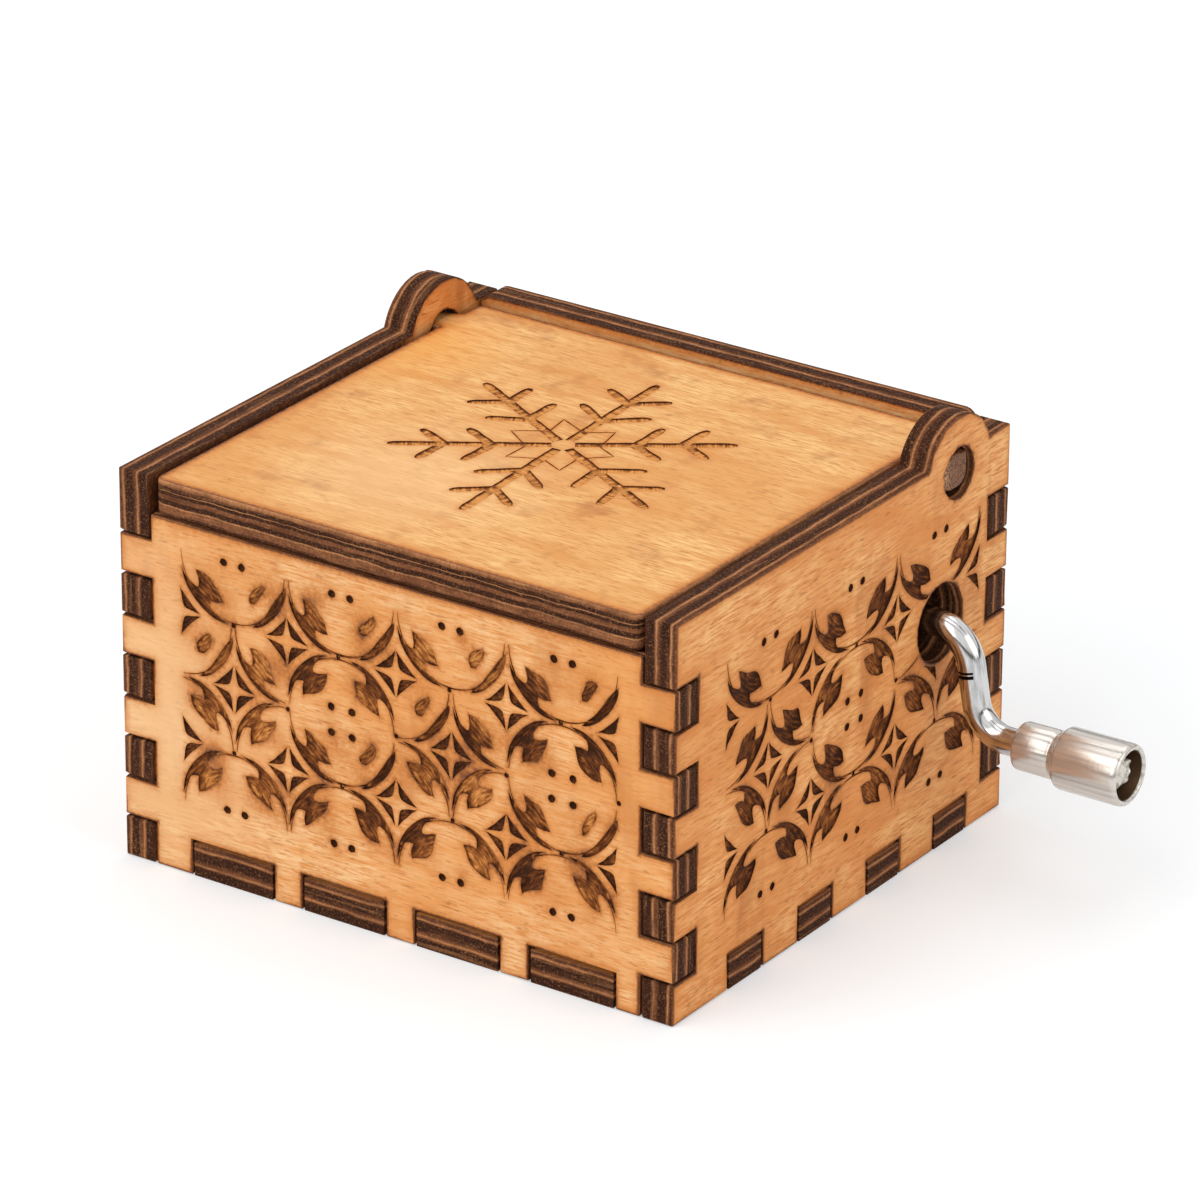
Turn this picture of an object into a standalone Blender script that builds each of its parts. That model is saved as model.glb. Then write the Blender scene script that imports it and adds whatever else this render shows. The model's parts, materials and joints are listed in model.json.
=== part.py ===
"""Hand-cranked wooden music box: a finger-jointed plywood box with a hinged lid, a comb movement
on a bedplate inside, and a bent crank whose worm turns the pinned drum.

Metres, +Z up. The origin is the centre of the underside. The crank is on the +X side, the front
is at -Y and the lid hinges near the rear edge at +Y.
"""
import math

import bmesh
import bpy
from mathutils import Matrix, Vector

MM = 0.001

# Plywood box
BOX_WIDTH = 64.0 * MM
BOX_DEPTH = 58.0 * MM
WALL_HEIGHT = 41.0 * MM
PLY = 3.5 * MM
JOINT_GAP = 0.25 * MM
FINGER_COUNT = 8
TOP_LEDGE = 2.6 * MM
BACK_RISE = 0.6 * MM
BACK_CORNER = 1.2 * MM
BOTTOM_TABS = 4
FRONT_TAB_INSET = 5.6 * MM
FRONT_TAB_BRIDGE = 3.8 * MM
FRONT_TAB_SHIFT = 0.8 * MM
SIDE_TAB_INSET = 4.8 * MM
SIDE_TAB_BRIDGE = 6.6 * MM
SIDE_TAB_SHIFT = 1.4 * MM

# Lid and its pegs
LID_THICKNESS = 3.5 * MM
LID_SINK = 0.2 * MM
LID_REST_GAP = 0.3 * MM
LID_SIDE_GAP = 0.7 * MM
LID_BACK_GAP = 0.7 * MM
LID_FRONT_SETBACK = 0.1 * MM
LID_CORNER = 1.0 * MM
HINGE_SETBACK = 9.3 * MM
EAR_RADIUS = 5.9 * MM
HINGE_HOLE_RADIUS = 2.6 * MM
PEG_WIDTH = 4.1 * MM
PEG_ROUND = 1.4 * MM
PEG_RECESS = 0.8 * MM

# Crank and knob
CRANK_SETBACK = 12.1 * MM
CRANK_HEIGHT = 24.3 * MM
CRANK_HOLE_RADIUS = 4.0 * MM
CRANK_THROW = 10.4 * MM
ROD_RADIUS = 1.4 * MM
ARM_OFFSET = 4.3 * MM
BEND_RADIUS = 3.0 * MM
KNOB_OFFSET = 9.6 * MM
NECK_RADIUS = 2.45 * MM
NECK_LENGTH = 4.2 * MM
KNOB_CONE = 1.3 * MM
KNOB_RADIUS = 3.15 * MM
KNOB_BODY = 6.6 * MM
KNOB_RECESS = 3.2 * MM
KNOB_RECESS_RADIUS = 2.5 * MM
KNOB_EDGE = 0.35 * MM
KNOB_PLAY = 0.25 * MM
RIVET_RADIUS = 2.05 * MM
RIVET_LENGTH = 0.8 * MM

# Worm and gear
GEAR_TEETH = 20
WORM_LEAD = 2.0 * MM
WORM_PITCH_RADIUS = 2.6 * MM
WORM_TURNS = 4
TOOTH_ADDENDUM = 0.55 * MM
TOOTH_DEDENDUM = 0.8 * MM
TOOTH_SHARE = 0.42
TOOTH_FLANK = 20.0
GEAR_WIDTH = 2.4 * MM
GEAR_HUB_RADIUS = 3.0 * MM
GEAR_SPACING = 2.4 * MM
WORM_TAIL_RADIUS = 1.25 * MM
SOCKET_WALL = 0.5 * MM
SOCKET_DEPTH = 5.0 * MM

# Drum and comb
DRUM_INSET = 19.5 * MM
DRUM_RADIUS = 6.5 * MM
DRUM_WALL = 0.9 * MM
DRUM_MARGIN = 1.2 * MM
CAP_THICKNESS = 1.5 * MM
NOTES = 18
NOTE_PITCH = 1.0 * MM
DRUM_SLOTS = 36
PIN_HEIGHT = 0.5 * MM
PIN_MARGIN = 0.3 * MM
SHAFT_RADIUS = 1.2 * MM
TOOTH_WIDTH = 0.68 * MM
COMB_THICKNESS = 1.0 * MM
COMB_CLEARANCE = 0.25 * MM
BASS_LENGTH = 13.5 * MM
TREBLE_LENGTH = 6.5 * MM
COMB_PLATE = 8.0 * MM
BASS_NOTES = 6
WEIGHT_LENGTH = 2.6 * MM
WEIGHT_TAPER = 0.5
WEIGHT_WIDTH = 0.54 * MM
WEIGHT_HEIGHT = 1.3 * MM

# Tune: how far the melody swings, as a share of the comb, and how it moves from slot to slot
MELODY_SWING = 0.41
MELODY_RATE = 1.1
RIPPLE_NOTES = 1.5
RIPPLE_RATE = 2.7
HARMONY_STEP = 4
HARMONY_EVERY = 2
BASS_STEP = 5
BASS_EVERY = 4

# Bedplate, brackets and screws
SEAT_GAP = 0.3 * MM
BORE_GAP = 0.2 * MM
BEDPLATE_THICKNESS = 2.2 * MM
BEDPLATE_CORNER = 3.0 * MM
BEDPLATE_MARGIN = 2.2 * MM
LUG_THICKNESS = 2.2 * MM
LUG_RADIUS = 3.0 * MM
LUG_BASE = 9.5 * MM
LUG_CLEARANCE = 1.3 * MM
BOSS_RADIUS = 3.1 * MM
BOSS_HEIGHT = 3.4 * MM
SHEET = 1.0 * MM
SHEET_BEND = 1.6 * MM
BRACKET_WIDTH = 6.4 * MM
BRACKET_FOOT = 7.4 * MM
BRACKET_ROUND = 2.8 * MM
BRACKET_TOP = 3.9 * MM
SCREW_RADIUS = 1.0 * MM
SCREW_HEAD_RADIUS = 1.9 * MM
SCREW_HEAD_HEIGHT = 1.3 * MM
COMB_SCREW_GRIP = 5.0 * MM
BRACKET_SCREW_GRIP = 1.6 * MM
WOOD_SCREW_HEAD = 2.6 * MM
WOOD_SCREW_SINK = 0.3 * MM
WASHER_RADIUS = 3.3 * MM
WASHER_THICKNESS = 0.6 * MM
CLIP_RADIUS = 2.3 * MM
CLIP_THICKNESS = 0.6 * MM

# How far a cutter runs past what it cuts, and how close two places count as one
CUT_PAST = 1.0 * MM
TOLERANCE = 0.05 * MM

# Facets
CORNER_STEPS = 4
BEND_STEPS = 6
EAR_STEPS = 16
HOLE_SIDES = 28
ROUND_SIDES = 24
KNOB_SIDES = 32
ROD_SIDES = 14
SCREW_SIDES = 12
THREAD_SIDES = 20

# Places that follow from the sizes
half_width = BOX_WIDTH / 2
half_depth = BOX_DEPTH / 2
front_height = WALL_HEIGHT - LID_SINK - LID_THICKNESS - LID_REST_GAP
back_height = WALL_HEIGHT + BACK_RISE
finger_height = (front_height - TOP_LEDGE) / FINGER_COUNT
inner_width = half_width - PLY
inner_depth = half_depth - PLY
lid_bottom = front_height + LID_REST_GAP
lid_top = lid_bottom + LID_THICKNESS
hinge_y = half_depth - HINGE_SETBACK
hinge_z = (lid_bottom + lid_top) / 2
crank_y = half_depth - CRANK_SETBACK
arm_x = half_width + ARM_OFFSET
knob_x = half_width + KNOB_OFFSET
knob_z = CRANK_HEIGHT - CRANK_THROW
knob_end = knob_x + NECK_LENGTH + KNOB_CONE + KNOB_BODY
recess_floor = knob_end - KNOB_RECESS
gear_pitch_radius = GEAR_TEETH * WORM_LEAD / math.tau
gear_tip_radius = gear_pitch_radius + TOOTH_ADDENDUM
drum_x = inner_width - DRUM_INSET
drum_z = CRANK_HEIGHT - gear_pitch_radius - WORM_PITCH_RADIUS
gear_front = crank_y - GEAR_WIDTH / 2
gear_rear = crank_y + GEAR_WIDTH / 2
drum_rear = gear_front - GEAR_SPACING
drum_front = drum_rear - NOTES * NOTE_PITCH - 2 * DRUM_MARGIN
first_note_y = drum_front + DRUM_MARGIN + NOTE_PITCH / 2
last_note_y = first_note_y + (NOTES - 1) * NOTE_PITCH
comb_tip_x = drum_x - DRUM_RADIUS - PIN_HEIGHT - COMB_CLEARANCE
comb_rear_x = comb_tip_x - BASS_LENGTH - COMB_PLATE
comb_bottom = drum_z - COMB_THICKNESS / 2
comb_top = comb_bottom + COMB_THICKNESS
block_top = comb_bottom - SEAT_GAP
bed_bottom = PLY + SEAT_GAP
bed_top = bed_bottom + BEDPLATE_THICKNESS
front_lug_face = drum_front - LUG_CLEARANCE
gear_hub_rear = gear_rear + LUG_CLEARANCE
rear_lug_face = gear_hub_rear + SEAT_GAP
bracket_bottom = bed_top + SEAT_GAP
bracket_top = bracket_bottom + SHEET
worm_shank_radius = ROD_RADIUS + BORE_GAP + SOCKET_WALL
inner_bracket_x = drum_x - gear_tip_radius - LUG_CLEARANCE
outer_bracket_x = drum_x + gear_tip_radius + LUG_CLEARANCE + WASHER_THICKNESS
inner_foot_x = inner_bracket_x - BRACKET_FOOT
outer_foot_x = outer_bracket_x + BRACKET_FOOT
bed_left = comb_rear_x - BEDPLATE_MARGIN
bed_right = outer_foot_x + JOINT_GAP
bed_front = front_lug_face - LUG_THICKNESS - BEDPLATE_MARGIN
bed_rear = rear_lug_face + LUG_THICKNESS + SEAT_GAP
boss_inset = BOSS_RADIUS + SEAT_GAP
wood_screw_tip = bed_top + BOSS_HEIGHT / 2
WOOD_SCREWS = (
    (bed_left + boss_inset, bed_front + boss_inset),
    (bed_left + boss_inset, bed_rear - boss_inset),
    (bed_right - boss_inset, bed_front + boss_inset),
)


def clear_scene():
    for item in list(bpy.data.objects):
        bpy.data.objects.remove(item, do_unlink=True)


def material(name, colour, roughness, metallic):
    finish = bpy.data.materials.new(name)
    finish.use_nodes = True
    shader = finish.node_tree.nodes["Principled BSDF"]
    shader.inputs["Base Color"].default_value = (*colour, 1.0)
    shader.inputs["Roughness"].default_value = roughness
    shader.inputs["Metallic"].default_value = metallic
    finish.diffuse_color = (*colour, 1.0)
    return finish


def axis_empty(name, place, parent=None):
    """An empty on a joint's axis; what turns about that axis is parented to it."""
    empty = bpy.data.objects.new(name, None)
    bpy.context.collection.objects.link(empty)
    empty.parent = parent
    empty.location = Vector(place) - world_place(parent)
    return empty


def world_place(empty):
    place = Vector((0.0, 0.0, 0.0))
    while empty is not None:
        place += empty.location
        empty = empty.parent
    return place


def finish_object(name, bm, finish, axis=None, smooth=None):
    """Turns world-space bmesh geometry into an object whose origin lies on its axis."""
    bmesh.ops.recalc_face_normals(bm, faces=bm.faces)
    mesh = bpy.data.meshes.new(name)
    bm.to_mesh(mesh)
    bm.free()
    mesh.transform(Matrix.Translation(-world_place(axis)))
    mesh.materials.append(finish)
    if smooth is not None:
        mesh.shade_smooth()
        mesh.set_sharp_from_angle(angle=math.radians(smooth))
    item = bpy.data.objects.new(name, mesh)
    bpy.context.collection.objects.link(item)
    item.parent = axis
    return item


def in_space(u, v, w, along):
    """A point at (u, v) in the plane across the named axis, and at w along it."""
    return {"X": (w, u, v), "Y": (u, w, v), "Z": (u, v, w)}[along]


def arc(cx, cy, radius, start, end, steps):
    angles = [math.radians(start + (end - start) * i / steps) for i in range(steps + 1)]
    return [(cx + radius * math.cos(a), cy + radius * math.sin(a)) for a in angles]


def rounded_box(u0, v0, u1, v1, radius):
    return (
        arc(u0 + radius, v0 + radius, radius, 180, 270, CORNER_STEPS)
        + arc(u1 - radius, v0 + radius, radius, 270, 360, CORNER_STEPS)
        + arc(u1 - radius, v1 - radius, radius, 0, 90, CORNER_STEPS)
        + arc(u0 + radius, v1 - radius, radius, 90, 180, CORNER_STEPS)
    )


def near(a, b):
    return abs(a - b) < TOLERANCE


def add_prism(bm, outline, along, low, high):
    """Extrudes a closed outline along an axis, from low to high."""
    verts = [bm.verts.new(in_space(u, v, low, along)) for u, v in outline]
    face = bm.faces.new(verts)
    grown = bmesh.ops.extrude_face_region(bm, geom=[face])
    moved = [part for part in grown["geom"] if isinstance(part, bmesh.types.BMVert)]
    bmesh.ops.translate(bm, vec=in_space(0, 0, high - low, along), verts=moved)
    return verts + moved


def prism(outline, along, low, high):
    bm = bmesh.new()
    add_prism(bm, outline, along, low, high)
    return bm


def add_cylinder(bm, u, v, radius, along, low, high, sides=ROUND_SIDES):
    outline = arc(u, v, radius, 0, 360 - 360 / sides, sides - 1)
    add_prism(bm, outline, along, low, high)


def add_turned(bm, profile, u, v, along, sides, closed=False):
    """Spins a profile of (distance along the axis, radius) about the axis through (u, v)."""
    verts = [bm.verts.new(in_space(u + radius, v, w, along)) for w, radius in profile]
    pairs = list(zip(verts, verts[1:]))
    if closed:
        pairs.append((verts[-1], verts[0]))
    edges = [bm.edges.new(pair) for pair in pairs]
    centre = in_space(u, v, 0, along)
    axis = in_space(0, 0, 1, along)
    bmesh.ops.spin(bm, geom=verts + edges, cent=centre, axis=axis, angle=math.tau, steps=sides)
    bmesh.ops.remove_doubles(bm, verts=bm.verts, dist=TOLERANCE / 20)


def turned(profile, u, v, along, sides, closed=False):
    bm = bmesh.new()
    add_turned(bm, profile, u, v, along, sides, closed)
    return bm


def boolean(item, name, bm, operation):
    """Cuts with, or joins, the solids in bm; the tool stays in the file as a hidden wire object."""
    bmesh.ops.recalc_face_normals(bm, faces=bm.faces)
    mesh = bpy.data.meshes.new(name)
    bm.to_mesh(mesh)
    bm.free()
    tool = bpy.data.objects.new(name, mesh)
    bpy.context.collection.objects.link(tool)
    tool.hide_render = True
    tool.display_type = "WIRE"
    step = item.modifiers.new(name, "BOOLEAN")
    step.operation = operation
    step.object = tool


# Panels

def finger_edge(outer, inner, first_owned, top):
    """Points up one upright corner: the wall reaches outer at the fingers that it owns."""
    points = []
    for i in range(FINGER_COUNT):
        owned = i % 2 == first_owned
        reach = outer if owned else inner
        slack = JOINT_GAP / 2 if owned else -JOINT_GAP / 2
        low = i * finger_height + slack if i else 0.0
        high = (i + 1) * finger_height - slack
        points += [(reach, low), (reach, high)]
    last_owned = (FINGER_COUNT - 1) % 2 == first_owned
    reach = inner if last_owned else outer
    points += [(reach, points[-1][1]), (reach, top)]
    return points


def tab_row(length, inset, bridge, shift):
    """The low and high end of each bottom tab along a wall of the given length."""
    pitch = (length - 2 * inset) / BOTTOM_TABS
    centres = [(i - (BOTTOM_TABS - 1) / 2) * pitch + shift for i in range(BOTTOM_TABS)]
    half = (pitch - bridge) / 2
    return [(centre - half, centre + half) for centre in centres]


def wall_outline(outer, inner, first_owned, tabs, sides_top, top_points):
    """A wall seen square on: notched foot, fingered corners and its own top edge."""
    foot = []
    notch = PLY + JOINT_GAP
    for low, high in tabs:
        a = low - JOINT_GAP
        b = high + JOINT_GAP
        foot += [(a, 0.0), (a, notch), (b, notch), (b, 0.0)]
    right = finger_edge(outer, inner, first_owned, sides_top)
    left = [(-u, v) for u, v in reversed(right)]
    return foot + right + top_points + left


front_tabs = tab_row(BOX_WIDTH, FRONT_TAB_INSET, FRONT_TAB_BRIDGE, FRONT_TAB_SHIFT)
side_tabs = tab_row(BOX_DEPTH, SIDE_TAB_INSET, SIDE_TAB_BRIDGE, SIDE_TAB_SHIFT)


def build_front_panel(wood):
    outline = wall_outline(half_width, inner_width - JOINT_GAP, 1, front_tabs, front_height, [])
    bm = prism(outline, "Y", -half_depth, -inner_depth)
    return finish_object("front_panel", bm, wood)


def build_back_panel(wood):
    """The back stands a little higher than the sides, with rounded upper corners."""
    reach = inner_width - JOINT_GAP
    shoulder = back_height - BACK_CORNER
    top = arc(reach - BACK_CORNER, shoulder, BACK_CORNER, 0, 90, CORNER_STEPS)[1:]
    top += [(-u, v) for u, v in reversed(top)]
    outline = wall_outline(half_width, reach, 1, front_tabs, shoulder, top)
    bm = prism(outline, "Y", inner_depth, half_depth)
    return finish_object("back_panel", bm, wood)


def side_outline():
    """A side wall with the round ear that carries the lid's peg."""
    lift = math.degrees(math.asin((WALL_HEIGHT - hinge_z) / EAR_RADIUS))
    ear = arc(hinge_y, hinge_z, EAR_RADIUS, lift, 180 - lift, EAR_STEPS)
    return wall_outline(half_depth, inner_depth - JOINT_GAP, 0, side_tabs, WALL_HEIGHT, ear)


def side_cutters(inside, outside, with_crank_hole):
    bm = bmesh.new()
    low = inside - CUT_PAST
    high = outside + CUT_PAST
    add_cylinder(bm, hinge_y, hinge_z, HINGE_HOLE_RADIUS, "X", low, high, HOLE_SIDES)
    if with_crank_hole:
        add_cylinder(bm, crank_y, CRANK_HEIGHT, CRANK_HOLE_RADIUS, "X", low, high, HOLE_SIDES)
    return bm


def build_left_panel(wood):
    panel = finish_object("left_panel", prism(side_outline(), "X", -half_width, -inner_width), wood)
    boolean(panel, "left_panel_holes", side_cutters(-half_width, -inner_width, False), "DIFFERENCE")
    return panel


def build_right_panel(wood):
    panel = finish_object("right_panel", prism(side_outline(), "X", inner_width, half_width), wood)
    boolean(panel, "right_panel_holes", side_cutters(inner_width, half_width, True), "DIFFERENCE")
    return panel


def build_bottom_panel(wood):
    """The floor, whose tabs show in the notches along the feet of the four walls."""
    x = inner_width - JOINT_GAP
    y = inner_depth - JOINT_GAP
    front = []
    for low, high in front_tabs:
        front += [(low, -y), (low, -half_depth), (high, -half_depth), (high, -y)]
    right = []
    for low, high in side_tabs:
        right += [(x, low), (half_width, low), (half_width, high), (x, high)]
    back = [(u, -v) for u, v in reversed(front)]
    left = [(-u, v) for u, v in reversed(right)]
    outline = [(-x, -y)] + front + [(x, -y)] + right + [(x, y)] + back + [(-x, y)] + left
    panel = finish_object("bottom_panel", prism(outline, "Z", 0.0, PLY), wood)
    holes = bmesh.new()
    for px, py in WOOD_SCREWS:
        add_turned(holes, countersunk_hole_profile(), px, py, "Z", ROUND_SIDES)
    boolean(panel, "bottom_panel_holes", holes, "DIFFERENCE")
    return panel


def build_lid(wood, axis):
    """The lid is one sheet whose two rounded pegs turn in the ears' holes."""
    x = inner_width - LID_SIDE_GAP
    front = -half_depth + LID_FRONT_SETBACK
    rear = inner_depth - LID_BACK_GAP
    tip = half_width - PEG_RECESS
    half_peg = PEG_WIDTH / 2
    r = LID_CORNER
    right = arc(x - r, front + r, r, 270, 360, CORNER_STEPS)
    right += [(x, hinge_y - half_peg), (tip, hinge_y - half_peg)]
    right += [(tip, hinge_y + half_peg), (x, hinge_y + half_peg)]
    right += arc(x - r, rear - r, r, 0, 90, CORNER_STEPS)
    left = [(-u, v) for u, v in reversed(right)]
    bm = prism(right + left, "Z", lid_bottom, lid_top)
    pegs = [edge for edge in bm.edges if is_peg_edge(edge, x, tip)]
    bmesh.ops.bevel(
        bm, geom=pegs, offset=PEG_ROUND, segments=CORNER_STEPS, profile=0.5, affect="EDGES"
    )
    return finish_object("lid", bm, wood, axis)


def is_peg_edge(edge, lid_side, tip):
    """The long edges of a peg run from the lid's side out to the peg's tip."""
    reach = sorted(abs(vert.co.x) for vert in edge.verts)
    return near(reach[0], lid_side) and near(reach[1], tip)


# Movement

def lug_outline(cx, base_z, half_base, cz, radius):
    return [(cx - half_base, base_z), (cx + half_base, base_z)] + arc(cx, cz, radius, 0, 180, 10)


def comb_root_x(y):
    """The slanted line where the teeth leave the comb's plate."""
    share = (y - first_note_y) / (last_note_y - first_note_y)
    return comb_tip_x - BASS_LENGTH + share * (BASS_LENGTH - TREBLE_LENGTH)


comb_front = first_note_y - NOTE_PITCH / 2
comb_back = last_note_y + NOTE_PITCH / 2
comb_screw_x = comb_rear_x + COMB_PLATE / 2
COMB_SCREWS = (
    (comb_screw_x, comb_front + COMB_PLATE / 2),
    (comb_screw_x, comb_back - COMB_PLATE / 2),
)
BRACKET_SCREWS = (
    (inner_foot_x + BRACKET_FOOT / 2, crank_y),
    (outer_foot_x - BRACKET_FOOT / 2, crank_y),
)


def build_bedplate(metal):
    """The casting under the movement: comb block, two drum lugs and three screw bosses."""
    slab = rounded_box(bed_left, bed_front, bed_right, bed_rear, BEDPLATE_CORNER)
    bed = finish_object("bedplate", prism(slab, "Z", bed_bottom, bed_top), metal)
    sunk = bed_top - BEDPLATE_THICKNESS / 2
    block = [
        (comb_rear_x, comb_front),
        (comb_root_x(comb_front) - SEAT_GAP, comb_front),
        (comb_root_x(comb_back) - SEAT_GAP, comb_back),
        (comb_rear_x, comb_back),
    ]
    boolean(bed, "bedplate_comb_block", prism(block, "Z", sunk, block_top), "UNION")
    lugs = bmesh.new()
    lug = lug_outline(drum_x, sunk, LUG_BASE / 2, drum_z, LUG_RADIUS)
    add_prism(lugs, lug, "Y", front_lug_face - LUG_THICKNESS, front_lug_face)
    add_prism(lugs, lug, "Y", rear_lug_face, rear_lug_face + LUG_THICKNESS)
    boolean(bed, "bedplate_lugs", lugs, "UNION")
    bosses = bmesh.new()
    for px, py in WOOD_SCREWS:
        add_cylinder(bosses, px, py, BOSS_RADIUS, "Z", sunk, bed_top + BOSS_HEIGHT)
    boolean(bed, "bedplate_bosses", bosses, "UNION")
    boolean(bed, "bedplate_holes", bedplate_holes(), "DIFFERENCE")
    return bed


def bedplate_holes():
    holes = bmesh.new()
    bore = SHAFT_RADIUS + BORE_GAP
    low = front_lug_face - LUG_THICKNESS - CUT_PAST
    high = rear_lug_face + LUG_THICKNESS + CUT_PAST
    add_cylinder(holes, drum_x, drum_z, bore, "Y", low, front_lug_face + CUT_PAST)
    add_cylinder(holes, drum_x, drum_z, bore, "Y", rear_lug_face - CUT_PAST, high)
    bore = SCREW_RADIUS + BORE_GAP
    for px, py in COMB_SCREWS:
        low = comb_bottom - COMB_SCREW_GRIP - SEAT_GAP
        add_cylinder(holes, px, py, bore, "Z", low, comb_top, SCREW_SIDES)
    low = bed_bottom - CUT_PAST
    for px, py in BRACKET_SCREWS:
        add_cylinder(holes, px, py, bore, "Z", low, bracket_top, SCREW_SIDES)
    for px, py in WOOD_SCREWS:
        add_cylinder(holes, px, py, bore, "Z", low, wood_screw_tip + SEAT_GAP, SCREW_SIDES)
    return holes


def build_comb(steel):
    """Eighteen teeth cut from one plate, long for the bass, with lead weights under the bass."""
    outline = [(comb_rear_x, comb_back), (comb_rear_x, comb_front)]
    half = TOOTH_WIDTH / 2
    for i in range(NOTES):
        y = first_note_y + i * NOTE_PITCH
        low = comb_front if i == 0 else y - half
        high = comb_back if i == NOTES - 1 else y + half
        outline += [(comb_root_x(y), low)] if i else []
        outline += [(comb_tip_x, low), (comb_tip_x, high)]
        outline += [(comb_root_x(y), high)] if i < NOTES - 1 else []
    comb = finish_object("comb", prism(outline, "Z", comb_bottom, comb_top), steel)
    weights = bmesh.new()
    tip = comb_tip_x - JOINT_GAP
    half = WEIGHT_WIDTH / 2
    for i in range(BASS_NOTES):
        y = first_note_y + i * NOTE_PITCH
        rear = tip - WEIGHT_LENGTH * (1 - WEIGHT_TAPER * i / BASS_NOTES)
        outline = [(rear, y - half), (tip, y - half), (tip, y + half), (rear, y + half)]
        low = comb_bottom - WEIGHT_HEIGHT
        add_prism(weights, outline, "Z", low, comb_bottom + COMB_THICKNESS / 2)
    boolean(comb, "comb_weights", weights, "UNION")
    holes = bmesh.new()
    low = comb_bottom - CUT_PAST
    high = comb_top + CUT_PAST
    for px, py in COMB_SCREWS:
        add_cylinder(holes, px, py, SCREW_RADIUS + BORE_GAP, "Z", low, high, SCREW_SIDES)
    boolean(comb, "comb_holes", holes, "DIFFERENCE")
    return comb


def cheese_screw_profile(seat, grip):
    """Up the axis: shank end, shank, the head's underside just above its seat, and its top."""
    head = seat + SEAT_GAP
    top = head + SCREW_HEAD_HEIGHT
    edge = SCREW_HEAD_HEIGHT / 4
    return [
        (seat - grip, 0.0),
        (seat - grip, SCREW_RADIUS),
        (head, SCREW_RADIUS),
        (head, SCREW_HEAD_RADIUS),
        (top - edge, SCREW_HEAD_RADIUS),
        (top, SCREW_HEAD_RADIUS - edge),
        (top, 0.0),
    ]


def wood_screw_profile():
    """Up the axis: the cone of the head, sunk in the floor's underside, then the shank."""
    cone_top = WOOD_SCREW_SINK + WOOD_SCREW_HEAD - SCREW_RADIUS
    return [
        (WOOD_SCREW_SINK, 0.0),
        (WOOD_SCREW_SINK, WOOD_SCREW_HEAD),
        (cone_top, SCREW_RADIUS),
        (wood_screw_tip, SCREW_RADIUS),
        (wood_screw_tip, 0.0),
    ]


def countersunk_hole_profile():
    """The wood screw's own shape, wider all round by the bore gap, through the whole floor."""
    head = WOOD_SCREW_HEAD + BORE_GAP
    bore = SCREW_RADIUS + BORE_GAP
    rim = WOOD_SCREW_SINK + BORE_GAP
    cone_top = rim + head - bore
    end = PLY + CUT_PAST
    return [(-CUT_PAST, 0.0), (-CUT_PAST, head), (rim, head), (cone_top, bore), (end, bore), (end, 0.0)]


def build_screws(steel):
    rows = (
        ("comb_screw", COMB_SCREWS, cheese_screw_profile(comb_top, COMB_SCREW_GRIP + COMB_THICKNESS)),
        ("bracket_screw", BRACKET_SCREWS, cheese_screw_profile(bracket_top, BRACKET_SCREW_GRIP + SHEET)),
        ("bedplate_screw", WOOD_SCREWS, wood_screw_profile()),
    )
    for kind, places, profile in rows:
        for i, (px, py) in enumerate(places):
            bm = turned(profile, px, py, "Z", SCREW_SIDES)
            finish_object(f"{kind}_{i + 1}", bm, steel, smooth=40)


def tune():
    """The pinned notes as (track, slot): a running melody, a harmony under it and a slow bass."""
    notes = set()
    top_note = NOTES - 1
    for slot in range(DRUM_SLOTS):
        swing = MELODY_SWING * top_note * math.sin(MELODY_RATE * slot)
        ripple = RIPPLE_NOTES * math.sin(RIPPLE_RATE * slot)
        melody = max(0, min(top_note, round(top_note / 2 + swing + ripple)))
        notes.add((melody, slot))
        if slot % HARMONY_EVERY == 0:
            notes.add((max(0, melody - HARMONY_STEP), slot))
        if slot % BASS_EVERY == 0:
            notes.add((slot // BASS_EVERY * BASS_STEP % BASS_NOTES, slot))
    return notes


def build_drum(brass, axis):
    """A tube with one face for each note and slot; the pinned faces are inset and drawn out."""
    inner = DRUM_RADIUS - DRUM_WALL
    tracks = [comb_front + i * NOTE_PITCH for i in range(NOTES + 1)]
    profile = [(y, DRUM_RADIUS) for y in [drum_front] + tracks + [drum_rear]]
    profile += [(drum_rear, inner), (drum_front, inner)]
    bm = turned(profile, drum_x, drum_z, "Y", DRUM_SLOTS, closed=True)
    bmesh.ops.recalc_face_normals(bm, faces=bm.faces)
    notes = tune()
    pinned = [face for face in bm.faces if note_of(face) in notes]
    bmesh.ops.inset_individual(bm, faces=pinned, thickness=PIN_MARGIN)
    grown = bmesh.ops.extrude_discrete_faces(bm, faces=pinned)
    for face in grown["faces"]:
        bmesh.ops.translate(bm, vec=face.normal * PIN_HEIGHT, verts=face.verts)
    return finish_object("drum", bm, brass, axis)


def note_of(face):
    """The (track, slot) of a face on the drum's outer skin, or None elsewhere."""
    middle = face.calc_center_median()
    out = Vector((middle.x - drum_x, middle.z - drum_z))
    track = (middle.y - first_note_y) / NOTE_PITCH
    if out.length < DRUM_RADIUS - DRUM_WALL / 2 or abs(face.normal.y) > 0.5:
        return None
    turn = math.atan2(out.y, out.x) / math.tau % 1.0
    return round(track), math.floor(turn * DRUM_SLOTS)


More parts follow.
